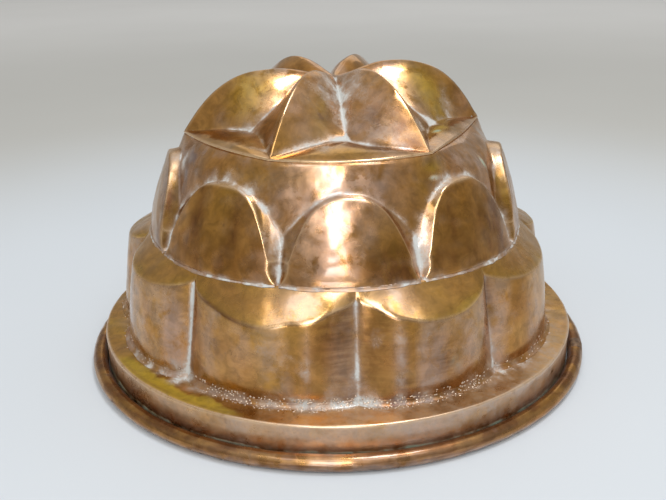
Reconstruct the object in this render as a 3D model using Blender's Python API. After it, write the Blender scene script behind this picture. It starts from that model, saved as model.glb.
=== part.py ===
# Copper cake mould, standing upside down on its wired rim. Metres, +Z up, origin on the floor
# under the middle of the mould. Angles go round from the front (-Y), positive towards +X.

import math

import bmesh
import bpy
import numpy as np

MM = 0.001

# Sheets and clearances
SHEET = 1.2 * MM  # copper sheet of the crown, drums and collar
TIN = 0.3 * MM  # tinned skin inside
FIT_GAP = 0.3 * MM  # between pieces that touch
JOINT_LIFT = 0.5 * MM  # how far the edge of a skin stops short of a joint

# Rolled rim
RIM_RADIUS = 130 * MM  # outside of the bead
BEAD_RADIUS = 3.75 * MM
STRIP = 0.8 * MM  # strip rolled round the wire
RIM_JOINT_ANGLE = 77  # where the ends of the strip meet
RIM_JOINT_LENGTH = 9 * MM
RIM_JOINT_SKIN = 0.5 * MM
RIM_JOINT_SWEEP = (45, 75, 105, 135)  # over the top of the bead, degrees up from outwards

# Collar: flat shoulder and upright band
SHOULDER_HEIGHT = 19.3 * MM  # at the foot of the lobes
SHOULDER_FALL = 0.7 * MM  # from the lobes out to the band
BAND_LIFT = 0.5 * MM  # band above the floor
COLLAR_ROUND = 1.0 * MM

# Lobed drum
LOBE_VALLEYS = (-79.6, -40.1, 4.6, 42.1, 86.0, 124.9, 163.8, 202.6, 241.5)  # hand raised, uneven
SHOULDER_WIDTH = 16.6 * MM  # from the band in to the lobes' valleys
LOBE_FOOT_DEPTHS = (6.6, 4.4, 4.4, 5.4, 8.0, 6.5, 6.5, 6.5, 10.6)  # of each lobe, in mm
LOBE_LEAN = 8.2 * MM  # of the wall in the valleys
LOBE_TOP_DEPTHS = (10.4, 11.1, 11.1, 10.0, 11.4, 11.0, 11.0, 11.0, 13.8)
LEDGE_WIDTH = 3.5 * MM  # in the valleys
LEDGE_FALL = 4.0 * MM  # in the valleys
LEDGE_DROPS = (5.8, 9.8, 9.1, 6.5, 5.0, 7.0, 7.0, 7.0, 4.5)  # from the valleys to each lobe's edge
LOBE_FULLNESS = 0.7  # under 1 makes the lobes fuller and the valleys sharper
LEDGE_ROUND = 1.3 * MM

# Drum with raised arches
ARCH_FEET = (-58.0, -15.4, 22.9, 61.7, 101.8, 141.8, 181.9, 221.9, 262.0)
ARCH_FOOT_HEIGHT = 69.0 * MM
ARCH_TOP_HEIGHTS = (107.2, 105.3, 106.6, 110.3, 108.0, 108.0, 108.0, 108.0, 110.5)  # in mm
ARCH_SPRING_RISE = 19.4 * MM  # from the feet to where the round heads part from the grooves
ARCH_FOOT_RELIEF = 1.3 * MM
ARCH_LEAN = 15.0 * MM
ARCH_LEAN_POWER = 1.4
ARCH_SIDE = 4.6 * MM  # width of the sloping side of an arch
ARCH_SIDE_DROP = 10.0 * MM  # from the spring of the head to the corners of the face
ARCH_HEAD_POWER = 3.5  # how square the face's head is
ARCH_HEAD_STEP = 1.4 * MM
ARCH_FLATNESS = 1.0 * MM

# Crown
RIB_TIPS = (-79.7, -21.3, 33.9, 98.1, 158.8, 219.6)
DRUM_LEAN = 19.4 * MM  # from the arches' grooves, at the foot, in to the crown's edge
CROWN_FLAT = 1.6 * MM  # how much less the crown reaches on the right, where it was knocked
CROWN_HEIGHT = 118.2 * MM  # its sharp round edge
CENTRE_RISE = 24.6 * MM  # the rest are above that edge
CREST_RISES = (28.2, 30.2, 30.2, 30.2, 30.2, 30.2)  # of each rib, in mm
RIB_FULLNESS = (2.4, 2.0, 2.0, 2.4, 2.0, 2.0)
CREST_RADIUS = 26.8 * MM
VALLEY_FOOT_RISE = 3.8 * MM
VALLEY_FOOT_RADIUS = 50.0 * MM
RIB_LIP = 1.5 * MM  # flat left outside each rib's tip
FACET_CURVE = 2.0
VALLEY_CURVE = 1.65
RIB_SIDE_CURVE = 0.45

# Solder
SEAM_LEG = 2.0 * MM

LEAST_SLACK = 0.7  # bounds how far a skin is pushed away from a sharp corner

# How finely each piece is divided
RIB_STEPS = 5  # from a rib's tip to a valley
CROWN_RINGS = 7
ARCH_STEPS = 8
ARCH_FACE_ROWS = 4
LOBE_STEPS = 10
RIM_STEPS = 60
BEAD_SIDES = 12
BEAD_INNER_STEPS = 7
WIRE_SIDES = 6

# Sizes that follow from those above
BEAD_CENTRE = RIM_RADIUS - BEAD_RADIUS
BAND_RADIUS = RIM_RADIUS - 2 * BEAD_RADIUS - FIT_GAP
LOBE_FOOT_RADIUS = BAND_RADIUS - SHOULDER_WIDTH  # this and the next two in the valleys
LOBE_TOP_RADIUS = LOBE_FOOT_RADIUS - LOBE_LEAN
LOBE_TOP_HEIGHT = ARCH_FOOT_HEIGHT - LEDGE_FALL
ARCH_WALL_RADIUS = LOBE_TOP_RADIUS - LEDGE_WIDTH
ARCH_SPRING_HEIGHT = ARCH_FOOT_HEIGHT + ARCH_SPRING_RISE
CROWN_RADIUS = ARCH_WALL_RADIUS - DRUM_LEAN
LOBED_FOOT_HEIGHT = SHOULDER_HEIGHT + FIT_GAP
LEDGE_TOP_HEIGHT = ARCH_FOOT_HEIGHT - FIT_GAP
DRUM_TOP_HEIGHT = CROWN_HEIGHT - SHEET - FIT_GAP
DRUM_RISE = CROWN_HEIGHT - ARCH_FOOT_HEIGHT
INNER_SKIN = SHEET + FIT_GAP  # depth of the tinned skin under the outside

COPPER_BROWN = (0.42, 0.19, 0.085)
COPPER_ROSE = (0.50, 0.24, 0.13)
COPPER_GOLD = (0.52, 0.28, 0.09)
SOLDER_GREY = (0.46, 0.43, 0.40)
TIN_GREY = (0.56, 0.55, 0.53)
IRON_GREY = (0.20, 0.19, 0.18)
DARK_SOLDER = (0.16, 0.11, 0.08)


def clear_scene():
    for old in list(bpy.data.objects):
        bpy.data.objects.remove(old)


def make_material(name, colour, roughness, metallic=1.0):
    material = bpy.data.materials.new(name)
    material.use_nodes = True
    shader = material.node_tree.nodes["Principled BSDF"]
    shader.inputs["Base Color"].default_value = (*colour, 1.0)
    shader.inputs["Roughness"].default_value = roughness
    shader.inputs["Metallic"].default_value = metallic
    return material


def add_solid(name, points, faces, material):
    """One closed mesh object with its faces turned outwards and its round parts shaded smooth."""
    mesh = bpy.data.meshes.new(name)
    mesh.from_pydata(points.tolist(), [], faces)
    shape = bmesh.new()
    shape.from_mesh(mesh)
    bmesh.ops.recalc_face_normals(shape, faces=shape.faces)
    shape.to_mesh(mesh)
    shape.free()
    mesh.shade_smooth()
    mesh.set_sharp_from_angle(angle=math.radians(35))
    mesh.materials.append(material)
    solid = bpy.data.objects.new(name, mesh)
    bpy.context.scene.collection.objects.link(solid)
    return solid


def place(radius, turn, height):
    """Points from radius, angle from the front in degrees, and height."""
    turn = np.radians(turn)
    points = np.broadcast_arrays(radius * np.sin(turn), -radius * np.cos(turn), height)
    return np.stack(points, axis=-1)


def strip_faces(upper, lower, lean):
    """Triangles between two closed rows of points, given by their first numbers.

    Each column leans its diagonal one way or the other, the same way on all skins of a wall.
    """
    faces = []
    columns = len(lean)
    for here in range(columns):
        after = (here + 1) % columns
        corners = (upper + here, upper + after, lower + after, lower + here)
        first = 0 if lean[here] else 1
        turned = corners[first:] + corners[:first]
        faces.append(turned[:3])
        faces.append((turned[0], turned[2], turned[3]))
    return faces


def ring_solid(name, rows, material):
    """A solid ring: each column of the rows is its closed section there."""
    count, columns = rows.shape[:2]
    faces = []
    for row in range(count):
        faces += strip_faces(row * columns, (row + 1) % count * columns, [True] * columns)
    return add_solid(name, rows.reshape(-1, 3), faces, material)


def shell_faces(count, lean, top_edge):
    """Triangles of a wall with count rows outside and as many inside, open or closed at its top."""
    columns = len(lean)
    inside = count * columns
    faces = []
    for row in range(count - 1):
        upper = row * columns
        faces += strip_faces(upper, upper + columns, lean)
        faces += strip_faces(inside + upper, inside + upper + columns, lean)
    last = (count - 1) * columns
    faces += strip_faces(last, inside + last, lean)
    if top_edge:
        faces += strip_faces(0, inside, lean)
    return faces


def shell_solid(name, outer, inner, shares, material):
    """A sheet metal ring between an outer and an inner surface."""
    faces = shell_faces(len(outer), shares < 0, True)
    points = np.concatenate([outer, inner]).reshape(-1, 3)
    return add_solid(name, points, faces, material)


def dish_solid(name, outer, inner, poles, shares, material):
    """A sheet metal dish: rows from the middle out to the edge, and the middle of each skin."""
    columns = outer.shape[1]
    faces = shell_faces(len(outer), shares < 0, False)
    inside = len(outer) * columns
    for here in range(columns):
        after = (here + 1) % columns
        faces.append((2 * inside, after, here))
        faces.append((2 * inside + 1, inside + here, inside + after))
    points = np.concatenate([outer.reshape(-1, 3), inner.reshape(-1, 3), poles])
    return add_solid(name, points, faces, material)


def spread(marks, shares):
    """Angles at the given shares (-1 to 1) of each stretch between neighbouring marks, and the shares."""
    starts = np.array(marks)
    ends = np.append(starts[1:], starts[0] + 360)
    middles = (starts + ends) / 2
    halves = (ends - starts) / 2
    turns = middles[:, None] + halves[:, None] * np.array(shares)[None, :]
    return turns.ravel(), np.tile(shares, len(marks))


def stretch_at(turns, marks):
    """Which stretch between neighbouring marks each angle is in, and where in it, from -1 to 1."""
    starts = np.array(marks)
    edges = np.append(starts, starts[0] + 360)
    turns = (np.asarray(turns) - starts[0]) % 360 + starts[0]
    index = np.clip(np.searchsorted(edges, turns, side="right") - 1, 0, len(starts) - 1)
    return index, 2 * (turns - edges[index]) / (edges[index + 1] - edges[index]) - 1


def sunk(rows, depth):
    """Rows moved in by depth along the surface's normals, with their first and last heights kept."""
    ahead = np.roll(rows, -1, axis=1) - rows
    down = rows[1:] - rows[:-1]
    total = np.zeros_like(rows)
    sides = []
    for across in (ahead, np.roll(ahead, 1, axis=1)):
        for start in (0, 1):
            across_rows = across[start : len(rows) - 1 + start]
            normal = np.cross(down, across_rows)
            normal /= np.linalg.norm(normal, axis=-1, keepdims=True)
            total[start : len(rows) - 1 + start] += normal
            sides.append((start, normal))
    total /= np.linalg.norm(total, axis=-1, keepdims=True)
    slack = np.ones(rows.shape[:2])
    for start, normal in sides:
        part = slice(start, len(rows) - 1 + start)
        slack[part] = np.minimum(slack[part], (normal * total[part]).sum(axis=-1))
    middle = np.array([0.0, 0.0, rows[:, :, 2].mean()])
    outward = np.sign(((rows - middle) * total)[:, :, :2].sum(axis=-1, keepdims=True))
    moved = rows - outward * total * (depth / np.clip(slack, LEAST_SLACK, 1))[..., None]
    for end in (0, -1):
        moved[end, :, 2] = rows[end, :, 2]
    return moved


def rib_shares(turns):
    """0 on a rib and 1 in a valley."""
    return 1 - np.abs(stretch_at(turns, RIB_TIPS)[1])


def rib_values(turns, values):
    """The value of the rib nearest to each angle."""
    index, shares = stretch_at(turns, RIB_TIPS)
    return np.array(values)[(index + (shares > 0)) % len(values)]


def drum_radius(height, turns):
    """Outside of the plain flared drum."""
    up = (height - ARCH_FOOT_HEIGHT) / DRUM_RISE
    flat = CROWN_FLAT * np.clip(np.sin(np.radians(turns)), 0, None) ** 2
    return ARCH_WALL_RADIUS - (DRUM_LEAN + flat) * up


def facet_radius(turns):
    """Foot of the ribs' sides, from a rib's tip in to the foot of a valley."""
    reach = drum_radius(CROWN_HEIGHT, turns) - RIB_LIP - VALLEY_FOOT_RADIUS
    return VALLEY_FOOT_RADIUS + reach * (1 - rib_shares(turns)) ** FACET_CURVE


def crown_height(radius, turns):
    """Height of the crown's outside."""
    share = rib_shares(turns)
    edge = drum_radius(CROWN_HEIGHT, turns)
    tip = edge - RIB_LIP
    foot = facet_radius(turns)
    crest = MM * rib_values(turns, CREST_RISES)
    along = np.minimum(radius / foot, 1.0)
    reach = along * tip
    swell = np.clip(reach / CREST_RADIUS, 0, 1)
    swell = swell * swell * (3 - 2 * swell)
    fall = np.clip((reach - CREST_RADIUS) / (tip - CREST_RADIUS), 0, 1)
    rib = np.where(
        reach < CREST_RADIUS,
        CENTRE_RISE + (crest - CENTRE_RISE) * swell,
        crest * (1 - fall ** rib_values(turns, RIB_FULLNESS)),
    )
    valley = VALLEY_FOOT_RISE + (CENTRE_RISE - VALLEY_FOOT_RISE) * (1 - along**VALLEY_CURVE)
    blend = (1 - RIB_SIDE_CURVE) * share + RIB_SIDE_CURVE * share**2
    facet = VALLEY_FOOT_RISE * (tip - foot) / (tip - VALLEY_FOOT_RADIUS)
    face = (1 - blend) * rib + blend * valley + (facet - blend * VALLEY_FOOT_RISE) * along**4
    out = np.clip((radius - foot) / (edge - foot), 0, 1)
    return CROWN_HEIGHT + np.where(radius > foot, facet * (1 - out), face)


def crown_rows(turns, radii, depth):
    """The crown's surface sunk straight down by a depth measured square to it, and not below its edge's."""
    height = crown_height(radii, turns)
    step = 1.0 * MM
    slope = (crown_height(radii + step, turns) - crown_height(radii - step, turns)) / (2 * step)
    ahead = np.degrees(step / np.maximum(radii, 4 * step))
    rise = crown_height(radii, turns + ahead) - crown_height(radii, turns - ahead)
    rise = rise / (2 * step)
    steep = np.minimum(np.sqrt(1 + slope**2 + rise**2), 2.0)
    return place(radii, turns, np.maximum(height - depth * steep, CROWN_HEIGHT - depth))


def crown_columns():
    """Angles from rib to rib, with a column on every rib and in every valley."""
    shares = np.linspace(-1, 1, 2 * RIB_STEPS + 1)[:-1]
    return spread(RIB_TIPS, shares)


def arch_face_radius(height, top, across):
    """Outside of an arch's face; across is 0 in its middle and 1 at its side edge."""
    up = np.clip((height - ARCH_FOOT_HEIGHT) / (top - ARCH_FOOT_HEIGHT), 0, 1)
    face = ARCH_WALL_RADIUS + ARCH_FOOT_RELIEF + ARCH_FLATNESS - ARCH_LEAN * up**ARCH_LEAN_POWER
    return face - ARCH_FLATNESS * across**2


def arch_side_share():
    """Share of an arch's half width at which its face ends and its sloping side begins."""
    half = math.pi / len(ARCH_FEET)
    return 1 - ARCH_SIDE / (half * ARCH_WALL_RADIUS)


def arch_columns():
    face = arch_side_share() * np.sin(np.linspace(-math.pi / 2, math.pi / 2, ARCH_STEPS + 1))
    return spread(ARCH_FEET, np.append(-1.0, face))


def arch_rows():
    """Outside of the arched drum: from the top down over the arch heads to the feet."""
    turns, shares = arch_columns()
    top = MM * np.array(ARCH_TOP_HEIGHTS)[stretch_at(turns, ARCH_FEET)[0]]
    across = np.minimum(np.abs(shares) / arch_side_share(), 1)
    groove = shares == -1
    head = ARCH_SPRING_HEIGHT + (top - ARCH_SPRING_HEIGHT) * (1 - shares**2)
    low = ARCH_SPRING_HEIGHT - ARCH_SIDE_DROP
    edge = low + (top - ARCH_HEAD_STEP - low) * (1 - across**ARCH_HEAD_POWER)
    rows = [place(drum_radius(DRUM_TOP_HEIGHT, turns), turns, DRUM_TOP_HEIGHT)]
    rows.append(place(drum_radius(head, turns), turns, head))
    for row in range(ARCH_FACE_ROWS + 1):
        height = edge + (ARCH_FOOT_HEIGHT - edge) * row / ARCH_FACE_ROWS
        face = arch_face_radius(height, top, across)
        rows.append(place(np.where(groove, drum_radius(height, turns), face), turns, height))
    return np.stack(rows)


def arch_foot_radius(turns):
    """Outline of the arches' feet, at any angles."""
    shares = np.abs(stretch_at(turns, ARCH_FEET)[1])
    edge = arch_side_share()
    across = np.minimum(shares / edge, 1)
    face = arch_face_radius(ARCH_FOOT_HEIGHT, ARCH_SPRING_HEIGHT, across)
    side = np.clip((shares - edge) / (1 - edge), 0, 1)
    return face + (ARCH_WALL_RADIUS - face) * side


def lobe_columns():
    shares = np.linspace(-1, 1, LOBE_STEPS + 1)[:-1]
    return spread(LOBE_VALLEYS, shares)


def lobe_swell(turns, depths):
    """How far the lobes stand out from the valleys, at any angles, from each lobe's own value."""
    index, shares = stretch_at(turns, LOBE_VALLEYS)
    return MM * np.array(depths)[index] * (1 - shares**2) ** LOBE_FULLNESS


def ledge_edge(turns):
    """Radius and height of the ledge's outer edge."""
    radius = LOBE_TOP_RADIUS + lobe_swell(turns, LOBE_TOP_DEPTHS)
    return radius, LOBE_TOP_HEIGHT - lobe_swell(turns, LEDGE_DROPS)


def lobe_foot_radius(turns):
    return LOBE_FOOT_RADIUS + lobe_swell(turns, LOBE_FOOT_DEPTHS)


def lobe_rows():
    """Outside of the lobed drum: the ledge from the arches' feet, its edge, and the wall to the shoulder."""
    turns = lobe_columns()[0]
    start = arch_foot_radius(turns)
    foot = lobe_foot_radius(turns)
    edge, edge_height = ledge_edge(turns)
    kept = 1 - LEDGE_ROUND / np.hypot(edge - start, LEDGE_TOP_HEIGHT - edge_height)
    rows = []
    for share in (0, kept / 2, kept):
        height = LEDGE_TOP_HEIGHT + (edge_height - LEDGE_TOP_HEIGHT) * share
        rows.append(place(start + (edge - start) * share, turns, height))
    fall = edge_height - LOBED_FOOT_HEIGHT
    for share in (LEDGE_ROUND / fall, 0.5, 1.0):
        rows.append(place(edge + (foot - edge) * share, turns, edge_height - fall * share))
    return np.stack(rows)


def crown_radii(turns):
    """Rings of the crown from near its middle to the foot of the ribs' sides, and its edge."""
    rings = np.arange(1, CROWN_RINGS + 1) / CROWN_RINGS
    edge = drum_radius(CROWN_HEIGHT, turns)
    return np.concatenate([rings[:, None] * facet_radius(turns), edge[None, :]])


def make_crown_cap():
    turns, shares = crown_columns()
    radii = crown_radii(turns)
    outer = crown_rows(turns, radii, 0)
    inner = crown_rows(turns, radii, SHEET)
    top = CROWN_HEIGHT + CENTRE_RISE
    poles = [(0, 0, top), (0, 0, top - SHEET)]
    material = make_material("crown_copper", COPPER_GOLD, 0.24)
    dish_solid("crown_cap", outer, inner, poles, shares, material)


def make_crown_lining():
    """Tin under the crown, in as far as the solder in the corner."""
    turns, shares = crown_columns()
    radii = crown_radii(turns)
    corner = drum_radius(DRUM_TOP_HEIGHT, turns) - SHEET - 2 * FIT_GAP
    reach = corner - SEAM_LEG - FIT_GAP
    kept = np.minimum(radii, reach - JOINT_LIFT)
    kept[-1] = reach
    skins = []
    for depth in (INNER_SKIN, INNER_SKIN + TIN):
        heights = crown_rows(turns, radii, depth)[:, :, 2]
        heights[kept < radii] = CROWN_HEIGHT - depth
        skins.append(place(kept, turns, heights))
    top = CROWN_HEIGHT + CENTRE_RISE - INNER_SKIN
    poles = [(0, 0, top), (0, 0, top - TIN)]
    material = make_material("crown_tin", TIN_GREY, 0.42)
    dish_solid("crown_lining", skins[0], skins[1], poles, shares, material)


def make_crown_seam():
    """Solder in the corner between the underside of the crown and the inside of the drum."""
    turns = crown_columns()[0]
    corner = drum_radius(DRUM_TOP_HEIGHT, turns) - SHEET - 2 * FIT_GAP
    top = DRUM_TOP_HEIGHT
    rows = [place(corner, turns, top), place(corner, turns, top - SEAM_LEG)]
    rows.append(place(corner - SEAM_LEG, turns, top))
    ring_solid("crown_seam", np.stack(rows), make_material("crown_solder", SOLDER_GREY, 0.5))


def make_arch_drum():
    outer = arch_rows()
    shares = arch_columns()[1]
    material = make_material("arch_copper", COPPER_BROWN, 0.28)
    shell_solid("arch_drum", outer, sunk(outer, SHEET), shares, material)


def make_arch_lining():
    whole = arch_rows()
    rows_kept = [0, 1, 2, 2 + ARCH_FACE_ROWS // 2, 2 + ARCH_FACE_ROWS]
    outer = sunk(whole, INNER_SKIN)[rows_kept]
    inner = sunk(whole, INNER_SKIN + TIN)[rows_kept]
    outer[0, :, 2] -= SEAM_LEG + FIT_GAP
    inner[0, :, 2] -= SEAM_LEG + FIT_GAP
    material = make_material("arch_tin", TIN_GREY, 0.42)
    shell_solid("arch_lining", outer, inner, arch_columns()[1], material)


def make_arch_seam():
    """Solder in the corner between the arches' feet and the ledge."""
    turns = arch_columns()[0]
    foot = arch_foot_radius(turns) + FIT_GAP
    edge, edge_height = ledge_edge(turns)
    start = np.maximum(foot, ARCH_WALL_RADIUS + ARCH_FOOT_RELIEF + 2 * FIT_GAP)
    slope = np.minimum((LEDGE_TOP_HEIGHT - edge_height) / (edge - start), 1)
    out = foot + SEAM_LEG / np.hypot(1, slope)
    ledge = ARCH_FOOT_HEIGHT - slope * (out - start)
    rows = [place(foot, turns, ARCH_FOOT_HEIGHT + SEAM_LEG), place(foot, turns, ARCH_FOOT_HEIGHT)]
    rows.append(place(out, turns, ledge))
    ring_solid("arch_seam", np.stack(rows), make_material("arch_solder", SOLDER_GREY, 0.5))


def make_lobed_drum():
    outer = lobe_rows()
    material = make_material("lobe_copper", COPPER_ROSE, 0.26)
    shell_solid("lobed_drum", outer, sunk(outer, SHEET), lobe_columns()[1], material)


def make_lobe_lining():
    whole = lobe_rows()
    outer = sunk(whole, INNER_SKIN)
    inner = sunk(whole, INNER_SKIN + TIN)
    material = make_material("lobe_tin", TIN_GREY, 0.42)
    shell_solid("lobe_lining", outer, inner, lobe_columns()[1], material)


def make_lobe_seam():
    """Solder in the corner between the foot of the lobes and the shoulder."""
    turns = lobe_columns()[0]
    foot = lobe_foot_radius(turns) + FIT_GAP
    rows = [place(foot, turns, LOBED_FOOT_HEIGHT + SEAM_LEG), place(foot, turns, LOBED_FOOT_HEIGHT)]
    rows.append(place(foot + SEAM_LEG, turns, LOBED_FOOT_HEIGHT))
    ring_solid("lobe_seam", np.stack(rows), make_material("lobe_solder", SOLDER_GREY, 0.5))


def make_base_collar():
    turns = lobe_columns()[0]
    hole = lobe_foot_radius(turns) - SHEET
    edge = SHOULDER_HEIGHT - SHOULDER_FALL
    section = [
        (hole, SHOULDER_HEIGHT),
        (BAND_RADIUS - COLLAR_ROUND, edge),
        (BAND_RADIUS, edge - COLLAR_ROUND),
        (BAND_RADIUS, BAND_LIFT),
        (BAND_RADIUS - SHEET, BAND_LIFT),
        (BAND_RADIUS - SHEET, edge - SHEET - COLLAR_ROUND),
        (BAND_RADIUS - SHEET - COLLAR_ROUND, edge - SHEET),
        (hole, SHOULDER_HEIGHT - SHEET),
    ]
    rows = np.stack([place(radius, turns, height) for radius, height in section])
    ring_solid("base_collar", rows, make_material("collar_copper", COPPER_ROSE, 0.26))


def make_collar_lining():
    turns = lobe_columns()[0]
    hole = lobe_foot_radius(turns) - SHEET + JOINT_LIFT
    wall = BAND_RADIUS - INNER_SKIN
    under = SHOULDER_HEIGHT - INNER_SKIN
    edge = under - SHOULDER_FALL
    section = [
        (hole, under),
        (wall - COLLAR_ROUND, edge),
        (wall, edge - COLLAR_ROUND),
        (wall, BAND_LIFT + JOINT_LIFT),
        (wall - TIN, BAND_LIFT + JOINT_LIFT),
        (wall - TIN, edge - TIN - COLLAR_ROUND),
        (wall - TIN - COLLAR_ROUND, edge - TIN),
        (hole, under - TIN),
    ]
    rows = np.stack([place(radius, turns, height) for radius, height in section])
    ring_solid("collar_lining", rows, make_material("collar_tin", TIN_GREY, 0.42))


def bead_point(reach, degrees, turns):
    """A point of the bead's section: reach from its middle, degrees up from straight outwards."""
    angle = math.radians(degrees)
    return place(BEAD_CENTRE + reach * math.cos(angle), turns, BEAD_RADIUS + reach * math.sin(angle))


def rim_turns():
    return np.arange(RIM_STEPS) * 360 / RIM_STEPS


def make_rim_bead():
    """Strip rolled round the wire, with flat sides below and outside, and its slit facing the band."""
    turns = rim_turns()
    side = 360 / BEAD_SIDES
    corner = BEAD_RADIUS / math.cos(math.radians(side / 2))
    slit = 180 - side / 2
    rows = [bead_point(corner, -slit + side * k, turns) for k in range(BEAD_SIDES)]
    inner_step = 2 * slit / BEAD_INNER_STEPS
    for k in range(BEAD_INNER_STEPS + 1):
        rows.append(bead_point(BEAD_RADIUS - STRIP, slit - inner_step * k, turns))
    ring_solid("rim_bead", np.stack(rows), make_material("rim_copper", COPPER_GOLD, 0.25))


def make_rim_wire():
    turns = rim_turns()
    slit = 180 - 180 / BEAD_SIDES
    half_step = math.radians(slit / BEAD_INNER_STEPS)
    radius = (BEAD_RADIUS - STRIP) * math.cos(half_step) - FIT_GAP
    rows = [bead_point(radius, 360 / WIRE_SIDES * k, turns) for k in range(WIRE_SIDES)]
    ring_solid("rim_wire", np.stack(rows), make_material("rim_iron", IRON_GREY, 0.6))


def make_rim_joint():
    """Thin saddle of solder over the top of the bead, where the ends of the strip meet."""
    half = math.degrees(RIM_JOINT_LENGTH / 2 / RIM_RADIUS)
    columns = np.linspace(RIM_JOINT_ANGLE - half, RIM_JOINT_ANGLE + half, 4)
    corner = BEAD_RADIUS / math.cos(math.radians(180 / BEAD_SIDES))
    low = corner + FIT_GAP
    sweep = RIM_JOINT_SWEEP
    rows = [bead_point(low + RIM_JOINT_SKIN, angle, columns) for angle in sweep]
    rows += [bead_point(low, angle, columns) for angle in reversed(sweep)]
    points = np.stack(rows)
    count, wide = points.shape[:2]
    faces = []
    for row in range(count):
        under = (row + 1) % count
        for column in range(wide - 1):
            here = row * wide + column
            there = under * wide + column
            faces.append((here, here + 1, there + 1, there))
    for column in (0, wide - 1):
        for row in range(len(sweep) - 1):
            opposite = count - 1 - row
            corners = [row, row + 1, opposite - 1, opposite]
            faces.append(tuple(corner_row * wide + column for corner_row in corners))
    material = make_material("joint_solder", DARK_SOLDER, 0.55)
    add_solid("rim_joint", points.reshape(-1, 3), faces, material)


clear_scene()
make_crown_cap()
make_crown_lining()
make_crown_seam()
make_arch_drum()
make_arch_lining()
make_arch_seam()
make_lobed_drum()
make_lobe_lining()
make_lobe_seam()
make_base_collar()
make_collar_lining()
make_rim_bead()
make_rim_wire()
make_rim_joint()
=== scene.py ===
import math

import bpy
import numpy as np
from mathutils import Matrix, Vector


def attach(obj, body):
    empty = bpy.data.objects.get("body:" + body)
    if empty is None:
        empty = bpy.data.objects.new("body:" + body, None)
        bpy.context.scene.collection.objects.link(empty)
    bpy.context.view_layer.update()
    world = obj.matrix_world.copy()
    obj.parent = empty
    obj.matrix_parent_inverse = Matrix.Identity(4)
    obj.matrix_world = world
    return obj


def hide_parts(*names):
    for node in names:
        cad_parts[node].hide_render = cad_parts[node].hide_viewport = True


# Old copper cake mould, upside down on its wired rim. Metres; turns are degrees from the front (-Y),
# positive towards +X; heights are above the floor.

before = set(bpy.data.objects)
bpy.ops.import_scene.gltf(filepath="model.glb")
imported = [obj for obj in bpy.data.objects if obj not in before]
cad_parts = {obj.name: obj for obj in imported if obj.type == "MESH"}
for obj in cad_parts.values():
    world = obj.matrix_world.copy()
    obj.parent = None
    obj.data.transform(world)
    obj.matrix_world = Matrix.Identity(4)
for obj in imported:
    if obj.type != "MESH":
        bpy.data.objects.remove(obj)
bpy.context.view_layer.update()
mm = 0.001


def addObject(name, data):
    made = bpy.data.objects.new(name, data)
    bpy.context.scene.collection.objects.link(made)
    return made


cameraSettings = {
    "lens": 46.3,  # millimetres on a sensor 36 mm wide
    "distance": 0.42489,
    "height": 0.21311,
    "pitchDown": 0.3677,  # this and the next two in radians
    "yaw": -0.004,
    "roll": -0.0162,
}


def addCamera(settings):
    data = bpy.data.cameras.new("photoCamera")
    data.sensor_width = 36
    data.lens = settings["lens"]
    data.clip_start = 0.01
    camera = addObject("photoCamera", data)
    # upright and level, the camera looks towards +Y
    pose = Matrix.Translation((0, -settings["distance"], settings["height"]))
    pose @= Matrix.Rotation(-settings["yaw"], 4, "Z")
    pose @= Matrix.Rotation(math.pi / 2 - settings["pitchDown"], 4, "X")
    camera.matrix_world = pose @ Matrix.Rotation(settings["roll"], 4, "Z")
    bpy.context.scene.camera = camera


addCamera(cameraSettings)


def place(radius, turn, height):
    # radius times the sine and minus the cosine of the turn, and the height
    turn = np.radians(turn)
    parts = np.broadcast_arrays(radius * np.sin(turn), -radius * np.cos(turn), height)
    return np.stack(parts, axis=-1)


def stretchAt(turns, marks):
    # which stretch between neighbouring marks a turn is in, and where in it from -1 to 1
    edges = np.append(np.array(marks), marks[0] + 360)
    turns = (np.asarray(turns) - marks[0]) % 360 + marks[0]
    index = np.clip(np.searchsorted(edges, turns, side="right") - 1, 0, len(marks) - 1)
    return index, 2 * (turns - edges[index]) / (edges[index + 1] - edges[index]) - 1


def spread(marks, shares):
    # turns at the given shares of each stretch between marks, and the shares
    starts = np.array(marks)
    ends = np.append(starts[1:], starts[0] + 360)
    middles, halves = (starts + ends) / 2, (ends - starts) / 2
    turns = middles[:, None] + halves[:, None] * shares[None, :]
    return turns.ravel(), np.tile(shares, len(marks))


def smooth(low, high, value):
    # 0 below low, 1 above high, an S curve between
    t = np.clip((value - low) / (high - low), 0, 1)
    return t * t * (3 - 2 * t)


def line(distance, width):
    # 1 on a line, falling like a bell with its distance
    return np.exp(-(distance / width) ** 2)


def turnGap(turns, middle):
    # degrees from a turn, the short way round
    return np.abs((turns - middle + 180) % 360 - 180)


def patch(turns, heights, turn, height, wide, tall):
    # a bell-shaped spot, wide in degrees and tall in metres
    return np.exp(-(turnGap(turns, turn) / wide) ** 2 - ((heights - height) / tall) ** 2)


def waves(points, wavelength, seed, count=20):
    # sum of sine waves in random directions, about -1 to 1, the same on every run
    rng = np.random.default_rng(seed)
    ways = rng.normal(size=(count, 3))
    ways /= np.linalg.norm(ways, axis=1, keepdims=True)
    ways *= 2 * math.pi / (wavelength * rng.uniform(0.7, 1.5, (count, 1)))
    phases = rng.uniform(0, 2 * math.pi, count)
    return np.sin(points @ ways.T + phases).sum(axis=-1) / math.sqrt(count)


def gridNormals(rows):
    # cross product of the steps round and down, turned away from the axis or upwards
    around = np.roll(rows, -1, axis=1) - np.roll(rows, 1, axis=1)
    down = np.empty_like(rows)
    down[1:-1] = rows[2:] - rows[:-2]
    down[0], down[-1] = rows[1] - rows[0], rows[-1] - rows[-2]
    normals = np.cross(down, around)
    return normals / np.maximum(np.linalg.norm(normals, axis=-1, keepdims=True), 1e-12)


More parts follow.
